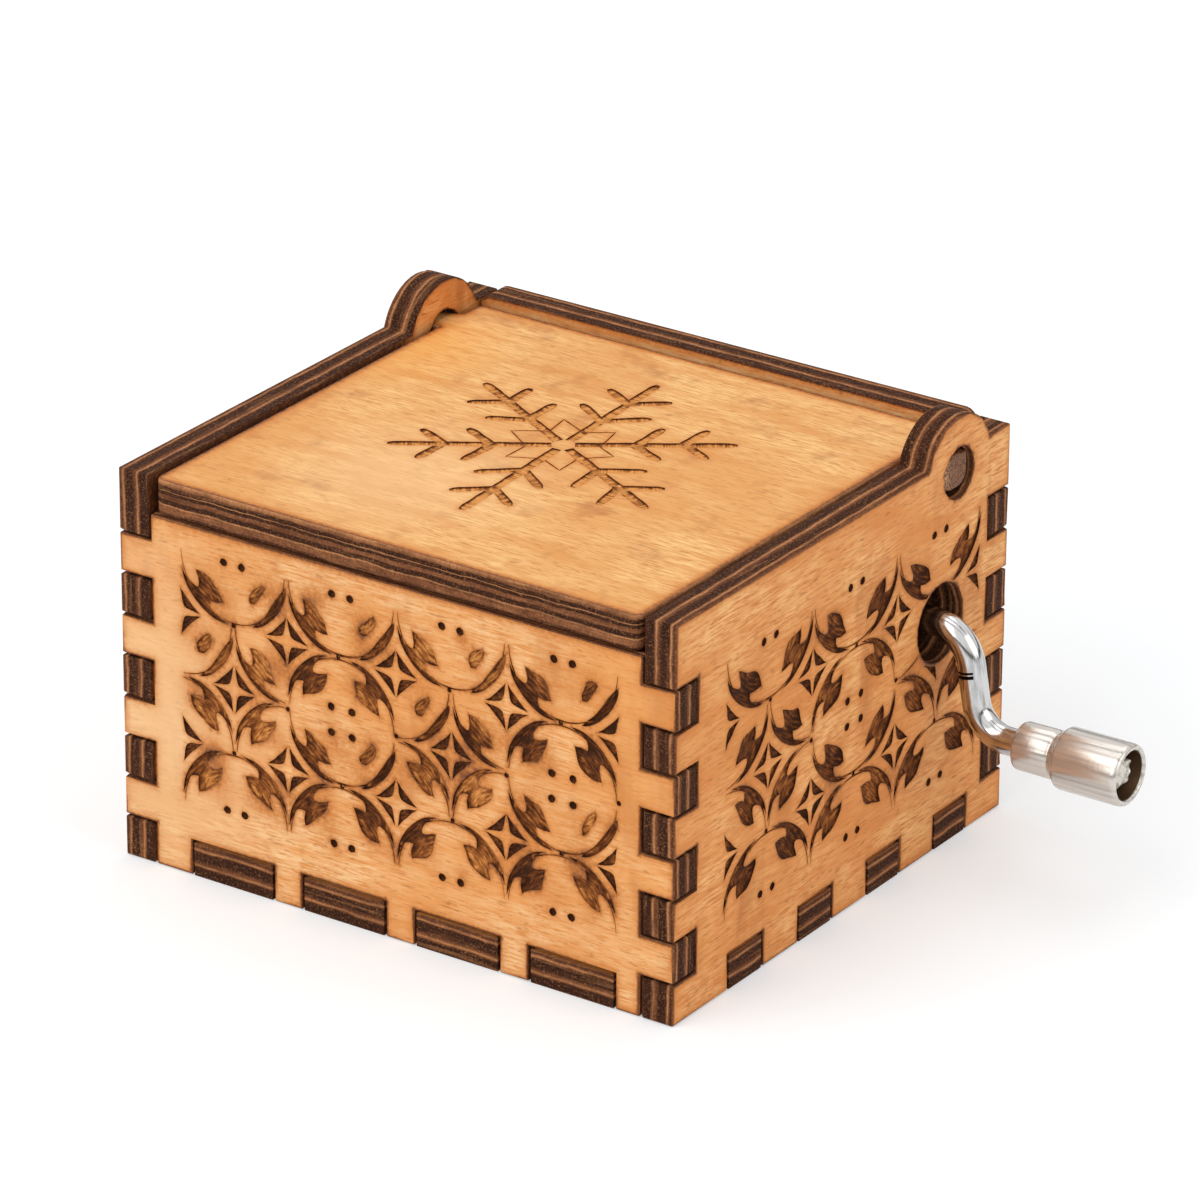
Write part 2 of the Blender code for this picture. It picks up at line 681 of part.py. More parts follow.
def build_drum_fittings(steel, brass, axis):
    radius = DRUM_RADIUS - DRUM_WALL - BORE_GAP
    bore = SHAFT_RADIUS + BORE_GAP
    for name, low in (("front", drum_front), ("rear", drum_rear - CAP_THICKNESS)):
        high = low + CAP_THICKNESS
        profile = [(low, bore), (low, radius), (high, radius), (high, bore)]
        bm = turned(profile, drum_x, drum_z, "Y", ROUND_SIDES, closed=True)
        finish_object("drum_cap_" + name, bm, brass, axis, smooth=40)
    clip_seats = (
        front_lug_face - LUG_THICKNESS - SEAT_GAP - CLIP_THICKNESS,
        rear_lug_face + LUG_THICKNESS + SEAT_GAP,
    )
    for name, low in zip(("front", "rear"), clip_seats):
        high = low + CLIP_THICKNESS
        profile = [(low, bore), (low, CLIP_RADIUS), (high, CLIP_RADIUS), (high, bore)]
        bm = turned(profile, drum_x, drum_z, "Y", ROUND_SIDES, closed=True)
        finish_object("shaft_clip_" + name, bm, steel, axis, smooth=40)
    low = clip_seats[0] - SEAT_GAP
    high = clip_seats[1] + CLIP_THICKNESS + SEAT_GAP
    profile = [(low, 0.0), (low, SHAFT_RADIUS), (high, SHAFT_RADIUS), (high, 0.0)]
    bm = turned(profile, drum_x, drum_z, "Y", ROUND_SIDES)
    finish_object("drum_shaft", bm, steel, axis, smooth=40)


def tooth_half_width(height):
    """Half the width of a tooth or thread at a height above its pitch line."""
    return TOOTH_SHARE * WORM_LEAD / 2 - height * math.tan(math.radians(TOOTH_FLANK))


def gear_outline(turn):
    points = []
    for i in range(GEAR_TEETH):
        centre = turn + math.tau * i / GEAR_TEETH
        for height, side in (
            (-TOOTH_DEDENDUM, -1),
            (TOOTH_ADDENDUM, -1),
            (TOOTH_ADDENDUM, 1),
            (-TOOTH_DEDENDUM, 1),
        ):
            radius = gear_pitch_radius + height
            angle = centre + side * tooth_half_width(height) / gear_pitch_radius
            points.append((drum_x + radius * math.cos(angle), drum_z + radius * math.sin(angle)))
    return points


def build_drum_gear(brass, axis):
    """A gear whose teeth lean with the worm's thread, on a hub that reaches the drum and the lug.

    At rest the worm's thread fills the gap that stands upright over the drum's axis.
    """
    lean = WORM_LEAD / (math.tau * WORM_PITCH_RADIUS) * GEAR_WIDTH / gear_pitch_radius
    top_tooth = math.pi / 2 + math.pi / GEAR_TEETH
    bm = bmesh.new()
    rings = []
    for y, turn in ((gear_front, top_tooth + lean / 2), (gear_rear, top_tooth - lean / 2)):
        rings.append([bm.verts.new((x, y, z)) for x, z in gear_outline(turn)])
        bm.faces.new(rings[-1])
    count = len(rings[0])
    for i in range(count):
        j = (i + 1) % count
        bm.faces.new((rings[0][i], rings[0][j], rings[1][j], rings[1][i]))
    gear = finish_object("drum_gear", bm, brass, axis)
    low = drum_rear + SEAT_GAP
    hub = bmesh.new()
    add_cylinder(hub, drum_x, drum_z, GEAR_HUB_RADIUS, "Y", low, gear_hub_rear)
    boolean(gear, "drum_gear_hub", hub, "UNION")
    bore = bmesh.new()
    radius = SHAFT_RADIUS + BORE_GAP
    add_cylinder(bore, drum_x, drum_z, radius, "Y", low - CUT_PAST, gear_hub_rear + CUT_PAST)
    boolean(gear, "drum_gear_bore", bore, "DIFFERENCE")
    return gear


def build_worm_shaft(steel, axis):
    """The worm with its two journals in one piece; the crank's rod screws into its open end."""
    root = WORM_PITCH_RADIUS - TOOTH_DEDENDUM
    bm = bmesh.new()
    first, last, start_x, end_x = add_thread(bm, root)
    tail = inner_bracket_x - SHEET - LUG_CLEARANCE
    shoulder = inner_bracket_x + SEAT_GAP
    left = [(start_x - SEAT_GAP, root), (shoulder, root), (shoulder, WORM_TAIL_RADIUS)]
    left += [(tail, WORM_TAIL_RADIUS), (tail, 0.0)]
    close_with_rings(bm, first, left, True)
    step = outer_bracket_x - WASHER_THICKNESS - 2 * SEAT_GAP
    open_end = outer_bracket_x + SHEET + SOCKET_DEPTH
    socket = ROD_RADIUS + BORE_GAP
    floor = open_end - SOCKET_DEPTH
    collar = worm_shank_radius + SEAT_GAP
    right = [(end_x + SEAT_GAP, root), (step, root), (step, collar)]
    right += [(step + SEAT_GAP, collar), (step + SEAT_GAP, worm_shank_radius)]
    right += [(open_end, worm_shank_radius), (open_end, socket), (floor, socket), (floor, 0.0)]
    close_with_rings(bm, last, right, False)
    return finish_object("worm_shaft", bm, steel, axis, smooth=40)


def add_thread(bm, root):
    """A right-hand thread as one skin: each turn's right root meets the next turn's left root.

    The thread starts and ends at the root's height, and rises over a quarter of a turn.
    Returns the two open borders, each once round the shaft, and the x where they begin and end.
    """
    n = THREAD_SIDES
    steps = WORM_TURNS * n
    start = drum_x - WORM_TURNS * WORM_LEAD / 2
    foot = tooth_half_width(-TOOTH_DEDENDUM)
    tip = tooth_half_width(TOOTH_ADDENDUM)
    depth = TOOTH_ADDENDUM + TOOTH_DEDENDUM
    rows = []
    for j in range(steps + 1):
        rise = min(1.0, 4.0 * j / n, 4.0 * (steps - j) / n)
        angle = math.tau * j / n - math.pi / 2
        middle = start + WORM_LEAD * j / n
        row = []
        for offset, height in ((-foot, 0.0), (-tip, rise), (tip, rise), (foot, 0.0)):
            radius = root + depth * height
            y = crank_y + radius * math.cos(angle)
            z = CRANK_HEIGHT + radius * math.sin(angle)
            row.append(bm.verts.new((middle + offset, y, z)))
        rows.append(row)
    for a, b in zip(rows, rows[1:]):
        for k in range(3):
            bm.faces.new((a[k], a[k + 1], b[k + 1], b[k]))
    for j in range(steps - n):
        a = rows[j]
        b = rows[j + 1]
        bm.faces.new((a[3], rows[j + n][0], rows[j + n + 1][0], b[3]))
    first = [row[0] for row in rows[: n + 1]] + [rows[0][3], rows[0][2], rows[0][1]]
    last = [row[3] for row in rows[steps - n :]] + [rows[steps][2], rows[steps][1], rows[steps][0]]
    return first, last, start - foot, start + WORM_TURNS * WORM_LEAD + foot


def close_with_rings(bm, border, profile, at_start):
    """Joins a thread's border to a ring at the profile's first point, then turns the rest."""
    n = THREAD_SIDES
    rings = []
    for x, radius in profile[:-1]:
        ring = []
        for j in range(n):
            angle = math.tau * j / n - math.pi / 2
            y = crank_y + radius * math.cos(angle)
            z = CRANK_HEIGHT + radius * math.sin(angle)
            ring.append(bm.verts.new((x, y, z)))
        rings.append(ring)
    join_border(bm, border, rings[0], at_start)
    for a, b in zip(rings, rings[1:]):
        for j in range(n):
            k = (j + 1) % n
            bm.faces.new((a[j], a[k], b[k], b[j]))
    bm.faces.new(rings[-1])


def join_border(bm, border, ring, at_start):
    """Facets from a ring to a thread's border, which steps on by one lead along its seam line."""
    n = THREAD_SIDES
    turn = border[: n + 1]
    line = [turn[0]] + list(reversed(border[n + 1 :])) + [turn[-1]]
    for j in range(n - 1) if at_start else range(1, n):
        bm.faces.new((ring[j], ring[(j + 1) % n], turn[j + 1], turn[j]))
    if at_start:
        hub = turn[-2]
        corners = [(ring[-1], ring[0], turn[0]), (ring[-1], turn[0], hub)]
    else:
        hub = turn[1]
        corners = [(hub, turn[-1], ring[0]), (hub, ring[0], ring[1])]
    for corner in corners + [(hub, a, b) for a, b in zip(line, line[1:])]:
        bm.faces.new(corner)


def build_worm_washer(steel, axis):
    low = outer_bracket_x - SEAT_GAP - WASHER_THICKNESS
    high = low + WASHER_THICKNESS
    bore = worm_shank_radius + BORE_GAP
    profile = [(low, bore), (low, WASHER_RADIUS), (high, WASHER_RADIUS), (high, bore)]
    bm = turned(profile, crank_y, CRANK_HEIGHT, "X", ROUND_SIDES, closed=True)
    return finish_object("worm_washer", bm, steel, axis, smooth=40)


def build_bracket(name, face_x, foot_x, bore, screw, steel):
    """A bent strip: a foot on the bedplate and an upright whose rounded top carries the worm."""
    side = 1 if foot_x > face_x else -1
    bend = SHEET_BEND
    corner = (face_x + side * bend, bracket_bottom + bend)
    start, end = (180, 270) if side > 0 else (0, -90)
    outer = arc(*corner, bend, start, end, CORNER_STEPS)
    inner = arc(*corner, bend - SHEET, end, start, CORNER_STEPS)
    top = CRANK_HEIGHT + BRACKET_TOP
    outline = [(face_x, top)] + outer + [(foot_x, bracket_bottom), (foot_x, bracket_top)]
    outline += inner + [(face_x + side * SHEET, top)]
    half = BRACKET_WIDTH / 2
    bm = prism(outline, "Y", crank_y - half, crank_y + half)
    corners = [edge for edge in bm.edges if is_corner(edge, foot_x, top)]
    bmesh.ops.bevel(
        bm, geom=corners, offset=BRACKET_ROUND, segments=CORNER_STEPS, profile=0.5, affect="EDGES"
    )
    bracket = finish_object(name, bm, steel)
    holes = bmesh.new()
    low = min(face_x, face_x + side * SHEET) - CUT_PAST
    high = low + SHEET + 2 * CUT_PAST
    add_cylinder(holes, crank_y, CRANK_HEIGHT, bore + BORE_GAP, "X", low, high)
    low = bracket_bottom - CUT_PAST
    high = bracket_top + CUT_PAST
    add_cylinder(holes, *screw, SCREW_RADIUS + BORE_GAP, "Z", low, high, SCREW_SIDES)
    boolean(bracket, name + "_holes", holes, "DIFFERENCE")
    return bracket


def is_corner(edge, foot_x, top):
    """The short edges across the sheet at the strip's two free ends."""
    ends = [vert.co for vert in edge.verts]
    across = near((ends[0] - ends[1]).length, SHEET) and near(ends[0].y, ends[1].y)
    at_top = all(near(end.z, top) for end in ends)
    at_foot = all(near(end.x, foot_x) for end in ends)
    return across and (at_top or at_foot)


# Crank

def ring_verts(ring):
    return list({vert for edge in ring for vert in edge.verts})


def straight_run(bm, ring, vector):
    grown = bmesh.ops.extrude_edge_only(bm, edges=ring)["geom"]
    verts = [part for part in grown if isinstance(part, bmesh.types.BMVert)]
    bmesh.ops.translate(bm, vec=vector, verts=verts)
    return [part for part in grown if isinstance(part, bmesh.types.BMEdge)]


def bend_run(bm, ring, centre, angle):
    geom = ring + ring_verts(ring)
    swept = bmesh.ops.spin(
        bm, geom=geom, cent=centre, axis=(0, 1, 0), angle=angle, steps=BEND_STEPS
    )
    return [part for part in swept["geom_last"] if isinstance(part, bmesh.types.BMEdge)]


def widen(bm, ring, centre, factor):
    """Steps the bar's radius at this place."""
    ring = straight_run(bm, ring, (0, 0, 0))
    space = Matrix.Translation(-Vector(centre))
    bmesh.ops.scale(bm, vec=(1, factor, factor), space=space, verts=ring_verts(ring))
    return ring


def build_crank_handle(steel, axis):
    """One round rod, bent down and out again, with its end spread inside the knob."""
    start_x = outer_bracket_x + SHEET + SEAT_GAP
    bm = bmesh.new()
    points = arc(crank_y, CRANK_HEIGHT, ROD_RADIUS, 0, 360 - 360 / ROD_SIDES, ROD_SIDES - 1)
    verts = [bm.verts.new((start_x, y, z)) for y, z in points]
    bm.faces.new(verts)
    ring = list(bm.edges)
    r = BEND_RADIUS
    ring = straight_run(bm, ring, (arm_x - r - start_x, 0, 0))
    ring = bend_run(bm, ring, (arm_x - r, crank_y, CRANK_HEIGHT - r), math.pi / 2)
    ring = straight_run(bm, ring, (0, 0, -(CRANK_THROW - 2 * r)))
    ring = bend_run(bm, ring, (arm_x + r, crank_y, knob_z + r), -math.pi / 2)
    rivet_x = recess_floor + SEAT_GAP
    ring = straight_run(bm, ring, (rivet_x - arm_x - r, 0, 0))
    centre = (rivet_x, crank_y, knob_z)
    ring = widen(bm, ring, centre, RIVET_RADIUS / ROD_RADIUS)
    ring = straight_run(bm, ring, (RIVET_LENGTH, 0, 0))
    bm.faces.new(ring_loop(ring))
    return finish_object("crank_handle", bm, steel, axis, smooth=40)


def ring_loop(ring):
    """The ring's vertices in order round it."""
    edges = set(ring)
    edge = ring[0]
    vert = edge.verts[0]
    loop = []
    while edges:
        edges.discard(edge)
        loop.append(vert)
        vert = edge.other_vert(vert)
        following = [item for item in vert.link_edges if item in edges]
        if not following:
            break
        edge = following[0]
    return loop


def build_crank_knob(nickel, axis):
    """A turned sleeve that spins on the rod: narrow neck, short cone, and a body with a hollow end."""
    bore = ROD_RADIUS + KNOB_PLAY
    body = knob_x + NECK_LENGTH + KNOB_CONE
    profile = [
        (knob_x, bore),
        (knob_x, NECK_RADIUS - KNOB_EDGE),
        (knob_x + KNOB_EDGE, NECK_RADIUS),
        (knob_x + NECK_LENGTH, NECK_RADIUS),
        (body, KNOB_RADIUS),
        (knob_end - KNOB_EDGE, KNOB_RADIUS),
        (knob_end, KNOB_RADIUS - KNOB_EDGE),
        (knob_end, KNOB_RECESS_RADIUS),
        (recess_floor, KNOB_RECESS_RADIUS),
        (recess_floor, bore),
    ]
    bm = turned(profile, crank_y, knob_z, "X", KNOB_SIDES, closed=True)
    return finish_object("crank_knob", bm, nickel, axis, smooth=35)


def build():
    clear_scene()
    wood = material("birch_ply", (0.72, 0.40, 0.17), 0.6, 0.0)
    lid_wood = material("lid_ply", (0.80, 0.47, 0.22), 0.6, 0.0)
    zinc = material("cast_zinc", (0.55, 0.54, 0.50), 0.45, 1.0)
    brass = material("drum_brass", (0.78, 0.58, 0.26), 0.3, 1.0)
    steel = material("bright_steel", (0.62, 0.62, 0.62), 0.3, 1.0)
    chrome = material("crank_chrome", (0.80, 0.80, 0.80), 0.08, 1.0)
    nickel = material("knob_nickel", (0.60, 0.59, 0.57), 0.25, 1.0)
    lid_axis = axis_empty("lid_axis", (0, hinge_y, hinge_z))
    crank_axis = axis_empty("crank_axis", (0, crank_y, CRANK_HEIGHT))
    knob_axis = axis_empty("knob_axis", (knob_x, crank_y, knob_z), crank_axis)
    drum_axis = axis_empty("drum_axis", (drum_x, 0, drum_z))
    build_front_panel(wood)
    build_back_panel(wood)
    build_left_panel(wood)
    build_right_panel(wood)
    build_bottom_panel(wood)
    build_lid(lid_wood, lid_axis)
    build_bedplate(zinc)
    build_comb(steel)
    build_screws(steel)
    build_drum(brass, drum_axis)
    build_drum_fittings(steel, brass, drum_axis)
    build_drum_gear(brass, drum_axis)
    build_worm_shaft(steel, crank_axis)
    build_worm_washer(steel, crank_axis)
    tail = WORM_TAIL_RADIUS
    inner, outer = BRACKET_SCREWS
    build_bracket("worm_bracket_inner", inner_bracket_x, inner_foot_x, tail, inner, steel)
    build_bracket("worm_bracket_outer", outer_bracket_x, outer_foot_x, worm_shank_radius, outer, steel)
    build_crank_handle(chrome, crank_axis)
    build_crank_knob(nickel, knob_axis)
    bpy.context.view_layer.update()


build()
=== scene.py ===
# %% [markdown]
# # A hand-cranked music box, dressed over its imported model
#
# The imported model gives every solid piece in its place: five finger-jointed plywood walls, a lid
# that turns on its own pegs, a cast bedplate with a comb, a pinned drum and a worm, and a bent
# crank with a turned knob. This notebook loads it as a fixed frame. Every piece is then copied or
# made again, worked further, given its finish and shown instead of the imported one. The noise
# that makes outlines sway gets a fixed seed, because its vectors otherwise start from the clock.

# %% Load the frame
import json
import math

import bmesh
import bpy
import numpy as np
from mathutils import Matrix, Vector, kdtree, noise
from mathutils.geometry import delaunay_2d_cdt


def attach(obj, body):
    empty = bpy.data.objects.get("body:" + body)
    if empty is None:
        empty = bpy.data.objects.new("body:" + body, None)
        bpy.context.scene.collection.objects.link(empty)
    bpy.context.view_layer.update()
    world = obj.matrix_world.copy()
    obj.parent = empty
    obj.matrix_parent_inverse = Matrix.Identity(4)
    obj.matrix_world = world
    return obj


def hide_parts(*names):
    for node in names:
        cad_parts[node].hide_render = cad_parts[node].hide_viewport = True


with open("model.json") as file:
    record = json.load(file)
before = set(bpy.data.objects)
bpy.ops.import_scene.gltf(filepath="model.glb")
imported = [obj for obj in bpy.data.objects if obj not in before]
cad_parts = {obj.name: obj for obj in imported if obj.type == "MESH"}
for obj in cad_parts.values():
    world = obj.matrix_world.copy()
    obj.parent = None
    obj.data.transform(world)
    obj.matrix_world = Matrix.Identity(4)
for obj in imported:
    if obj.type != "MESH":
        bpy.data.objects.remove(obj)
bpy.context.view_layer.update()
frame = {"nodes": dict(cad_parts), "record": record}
nodes = frame["nodes"]
MM = 0.001
NOISE_SEED = 3
noise.seed_set(NOISE_SEED)

# %% [markdown]
# ## Small helpers
#
# Operators in Blender act on whatever is selected, so every step starts by selecting one object
# alone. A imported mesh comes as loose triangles. A copy that is going to be worked on is merged
# first, and its flat faces are joined into single polygons, as if it had been drawn by hand.
# Three more steps come back again and again: picking faces by a test, pushing them in, and
# rounding the edges.

# %% Select, edit and copy


def only(piece):
    """Selects one object and makes it the active one."""
    bpy.ops.object.select_all(action="DESELECT")
    piece.select_set(True)
    bpy.context.view_layer.objects.active = piece


def in_edit(piece, mode="FACE"):
    """Opens one object in edit mode with nothing selected."""
    only(piece)
    bpy.ops.object.mode_set(mode="EDIT")
    bpy.ops.mesh.select_mode(type=mode)
    bpy.ops.mesh.select_all(action="DESELECT")


def out_of_edit():
    """Goes back to object mode."""
    bpy.ops.object.mode_set(mode="OBJECT")


def pick_faces(piece, test):
    """Opens one object in edit mode with just those faces selected that pass a test."""
    in_edit(piece)
    out_of_edit()
    for face in piece.data.polygons:
        face.select = bool(test(face))
    bpy.ops.object.mode_set(mode="EDIT")


def push_selected(move):
    """Extrudes what is selected along a move and leaves edit mode."""
    bpy.ops.mesh.extrude_region_move(TRANSFORM_OT_translate={"value": move})
    out_of_edit()


def round_edges(piece, width, segments, angle):
    """Rounds all edges sharper than an angle, by a width in millimetres."""
    bevel = piece.modifiers.new("rounding", "BEVEL")
    bevel.width = width * MM
    bevel.segments = segments
    bevel.limit_method = "ANGLE"
    bevel.angle_limit = math.radians(angle)
    only(piece)
    bpy.ops.object.modifier_apply(modifier=bevel.name)


def merged_copy(node_name, name):
    """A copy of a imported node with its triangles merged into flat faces."""
    piece = bpy.data.objects.new(name, nodes[node_name].data.copy())
    bpy.context.collection.objects.link(piece)
    only(piece)
    if piece.data.has_custom_normals:
        bpy.ops.mesh.customdata_custom_splitnormals_clear()
    in_edit(piece, "VERT")
    bpy.ops.mesh.select_all(action="SELECT")
    bpy.ops.mesh.remove_doubles(threshold=0.0005 * MM)
    bpy.ops.mesh.dissolve_limited(angle_limit=math.radians(0.6))
    out_of_edit()
    return piece


def finish_shape(piece, angle=32):
    """Smooth shading over gentle angles and sharp shading over steep ones."""
    only(piece)
    bpy.ops.object.shade_smooth_by_angle(angle=math.radians(angle))
    print(f"{piece.name}: {len(piece.data.polygons)} faces")


# %% [markdown]
# ## Camera
#
# The photograph looks down on the box from the front right, from far enough away that the walls
# hardly converge. The viewing angle was worked out from the corners of the box, so the camera is
# built from its direction, its distance and the point that it looks at.

# %% Camera
VIEW_AZIMUTH = math.radians(34.180)
VIEW_HEIGHT = math.radians(24.303)
VIEW_ROLL = math.radians(0.356)
VIEW_DISTANCE = 0.73073
VIEW_AIM = Vector((0.00656, -0.00400, 0.02784))
LENS = 228.88

back = Vector((
    math.sin(VIEW_AZIMUTH) * math.cos(VIEW_HEIGHT),
    -math.cos(VIEW_AZIMUTH) * math.cos(VIEW_HEIGHT),
    math.sin(VIEW_HEIGHT),
))
right = Vector((math.cos(VIEW_AZIMUTH), math.sin(VIEW_AZIMUTH), 0))
up = back.cross(right)
camera_x = right * math.cos(VIEW_ROLL) + up * math.sin(VIEW_ROLL)
camera_y = up * math.cos(VIEW_ROLL) - right * math.sin(VIEW_ROLL)

camera_data = bpy.data.cameras.new("camera")
camera_data.lens = LENS
camera_data.sensor_width = 36
camera_data.clip_start = 0.01
camera = bpy.data.objects.new("camera", camera_data)
bpy.context.collection.objects.link(camera)
turn = Matrix((camera_x, camera_y, back)).transposed().to_4x4()
camera.matrix_world = Matrix.Translation(VIEW_AIM + back * VIEW_DISTANCE) @ turn
bpy.context.scene.camera = camera
bpy.context.scene.view_settings.view_transform = "Standard"
print("camera at", [round(v, 3) for v in camera.matrix_world.translation])

# %% [markdown]
# ## Floor, background and lamps
#
# The photograph was taken on a white sweep: the background is white, and only a faint shadow
# lies under the box. The floor is one pale sheet. Seen by the camera or in a reflection it is
# nearly its own white, so the lamps don't have to be strong enough to bleach it. Three large
# soft lamps light the box: the main one from the front left above, a wide one over the top and a
# weak one from the right.

# %% Floor and world


def seen_share(tree):
    """1 for camera, glossy and transmission rays, 0 for the light that bounces about."""
    path = tree.nodes.new("ShaderNodeLightPath")
    share = path.outputs["Is Camera Ray"]
    for kind in ("Is Glossy Ray", "Is Transmission Ray"):
        either = tree.nodes.new("ShaderNodeMath")
        either.operation = "MAXIMUM"
        tree.links.new(share, either.inputs[0])
        tree.links.new(path.outputs[kind], either.inputs[1])
        share = either.outputs[0]
    return share


def two_faced(tree, plain, seen, output):
    """Uses one shader for bouncing light and the other where the surface is seen."""
    mix = tree.nodes.new("ShaderNodeMixShader")
    tree.links.new(seen_share(tree), mix.inputs[0])
    tree.links.new(plain.outputs[0], mix.inputs[1])
    tree.links.new(seen.outputs[0], mix.inputs[2])
    tree.links.new(mix.outputs[0], tree.nodes[output].inputs["Surface"])


world = bpy.data.worlds.new("studio")
bpy.context.scene.world = world
world.use_nodes = True
LIGHTING_SKY, SEEN_SKY = ((1.0, 0.98, 0.96, 1), 0.42), ((1, 1, 1, 1), 1.0)
skies = []
for colour, strength in (LIGHTING_SKY, SEEN_SKY):
    sky = world.node_tree.nodes.new("ShaderNodeBackground")
    sky.inputs["Color"].default_value = colour
    sky.inputs["Strength"].default_value = strength
    skies.append(sky)
two_faced(world.node_tree, *skies, "World Output")

bpy.ops.mesh.primitive_plane_add(size=3.0, location=(0, 0, -0.00005))
floor = bpy.context.object
floor.name = "floor"

floor_paper = bpy.data.materials.new("floor_paper")
floor_paper.use_nodes = True
paper = floor_paper.node_tree
LIGHTING_PAPER, SEEN_PAPER = ((0.86, 0.86, 0.86, 1), 0.0), ((0.69, 0.72, 0.745, 1), 0.345)
papers = []
for shade, glow in (LIGHTING_PAPER, SEEN_PAPER):
    sheet = paper.nodes.new("ShaderNodeBsdfPrincipled")
    sheet.inputs["Base Color"].default_value = shade
    sheet.inputs["Roughness"].default_value = 0.9
    sheet.inputs["Specular IOR Level"].default_value = 0.0
    sheet.inputs["Emission Color"].default_value = (1, 1, 1, 1)
    sheet.inputs["Emission Strength"].default_value = glow
    papers.append(sheet)
two_faced(paper, *papers, "Material Output")
floor.data.materials.append(floor_paper)
print("floor and world are white where they are seen")


LAMP_AIM = Vector((0, 0, 0.02))


def area_lamp(name, place, size, watts, colour=(1, 1, 1)):
    """A square soft lamp that faces the middle of the box."""
    data = bpy.data.lights.new(name, "AREA")
    data.size = size
    data.energy = watts
    data.color = colour
    lamp = bpy.data.objects.new(name, data)
    bpy.context.collection.objects.link(lamp)
    lamp.location = place
    lamp.rotation_euler = (lamp.location - LAMP_AIM).to_track_quat("Z", "Y").to_euler()


area_lamp("main_lamp", (-0.25, -0.75, 0.70), 1.0, 6.1, (1.0, 0.98, 0.95))
area_lamp("top_lamp", (-0.15, 0.15, 0.95), 1.0, 3.4)
area_lamp("side_lamp", (0.85, 0.05, 0.45), 0.70, 2.3)

# %% [markdown]
# Polished metal looks like metal only where it has something dark to mirror. A photographer sets
# dark flags round the table for that. Here a low dark band stands far out all round, and two dark
# strips hang under the lamp. Only reflections see them, so they take no light from the wood.

# %% Dark flags for reflections
black_card = bpy.data.materials.new("black_card")
black_card.use_nodes = True
black_card.node_tree.nodes["Principled BSDF"].inputs["Base Color"].default_value = (
    0.02, 0.018, 0.016, 1)


def only_in_reflections(card, name):
    """Makes a stage object black and hides it from everything but reflections."""
    card.name = name
    card.data.materials.append(black_card)
    for kind in ("camera", "diffuse", "shadow", "transmission", "volume_scatter"):
        setattr(card, "visible_" + kind, False)


BAND_RADIUS, BAND_HEIGHT, BAND_LEVEL = 1.25, 0.22, 0.20
STRIP_LENGTH, STRIP_LEVEL = 3.0, 0.80
bpy.ops.mesh.primitive_cylinder_add(vertices=64, radius=BAND_RADIUS, depth=BAND_HEIGHT,
                                    end_fill_type="NOTHING", location=(0, 0, BAND_LEVEL))
only_in_reflections(bpy.context.object, "dark_band")
for name, y, width in (("strip_rear", 0.16, 0.11), ("strip_front", -0.24, 0.05)):
    bpy.ops.mesh.primitive_plane_add(size=1, location=(0, y, STRIP_LEVEL))
    strip = bpy.context.object
    strip.scale = (STRIP_LENGTH, width, 1)
    bpy.ops.object.transform_apply(location=True, rotation=True, scale=True)
    only_in_reflections(strip, name)
print("dark flags: a band and two strips")

# %% [markdown]
# ## Materials
#
# Every finish is a small network of nodes. A few helpers keep them short: one makes a node and
# fills its sockets, with a number or with another node's output, and one lays colour over
# colour. Patterns read Object coordinates in millimetres, so a grain line is as wide as it says.

# %% Node helpers


def srgb(red, green, blue):
    """A colour as it looks on a screen, 0 to 255, in the numbers that a shader takes."""
    linear = []
    for value in (red, green, blue):
        part = value / 255
        linear.append(part / 12.92 if part <= 0.04045 else ((part + 0.055) / 1.055) ** 2.4)
    return (*linear, 1.0)


def fill(tree, made, inputs):
    """Fills a node's sockets: another socket is linked, a number or a colour is written in."""
    for key, value in inputs.items():
        if isinstance(value, bpy.types.NodeSocket):
            tree.links.new(value, made.inputs[key])
        else:
            made.inputs[key].default_value = value


def node(tree, kind, inputs=None, **settings):
    """Adds a shader node with its settings and fills its sockets."""
    made = tree.nodes.new("ShaderNode" + kind)
    for key, value in settings.items():
        setattr(made, key, value)
    fill(tree, made, inputs or {})
    return made


def blend(tree, factor, first, second):
    """Mixes two colours and returns the colour socket."""
    return node(tree, "Mix", {0: factor, 6: first, 7: second}, data_type="RGBA").outputs[2]


def ramp(tree, value, *stops):
    """A colour ramp through (position, colour) stops, returned as a colour socket."""
    made = node(tree, "ValToRGB", {0: value})
    bar = made.color_ramp.elements
    while len(bar) < len(stops):
        bar.new(0.5)
    for element, (position, colour) in zip(bar, stops):
        element.position = position
        element.color = colour
    return made.outputs[0]


def stretch(tree, value, low, high, new_low=0.0, new_high=1.0):
    """Moves a value from one range to another, clamped."""
    return node(tree, "MapRange", {
        "Value": value, "From Min": low, "From Max": high, "To Min": new_low, "To Max": new_high,
    }).outputs[0]


def layered(tree, colour, *layers):
    """Lays colours over a base, each by its strength where its value goes from low to high."""
    for value, low, high, strength, shade in layers:
        colour = blend(tree, stretch(tree, value, low, high, 0.0, strength), colour, shade)
    return colour


def math_node(tree, how, first, second=0.0):
    """One arithmetic step."""
    return node(tree, "Math", {0: first, 1: second}, operation=how).outputs[0]


def millimetres(tree, scale=(1, 1, 1)):
    """Object coordinates in millimetres, stretched by a factor along each axis."""
    place = node(tree, "TexCoord").outputs["Object"]
    factors = tuple(part / MM for part in scale)
    return node(tree, "Mapping", {"Vector": place, "Scale": factors}).outputs[0]


def cloud(tree, vector, scale, detail=3.0, rough=0.55, twist=0.0):
    """A noise value with features about 1/scale millimetres wide."""
    return node(tree, "TexNoise", {
        "Vector": vector, "Scale": scale, "Detail": detail, "Roughness": rough,
        "Distortion": twist,
    }).outputs["Fac"]


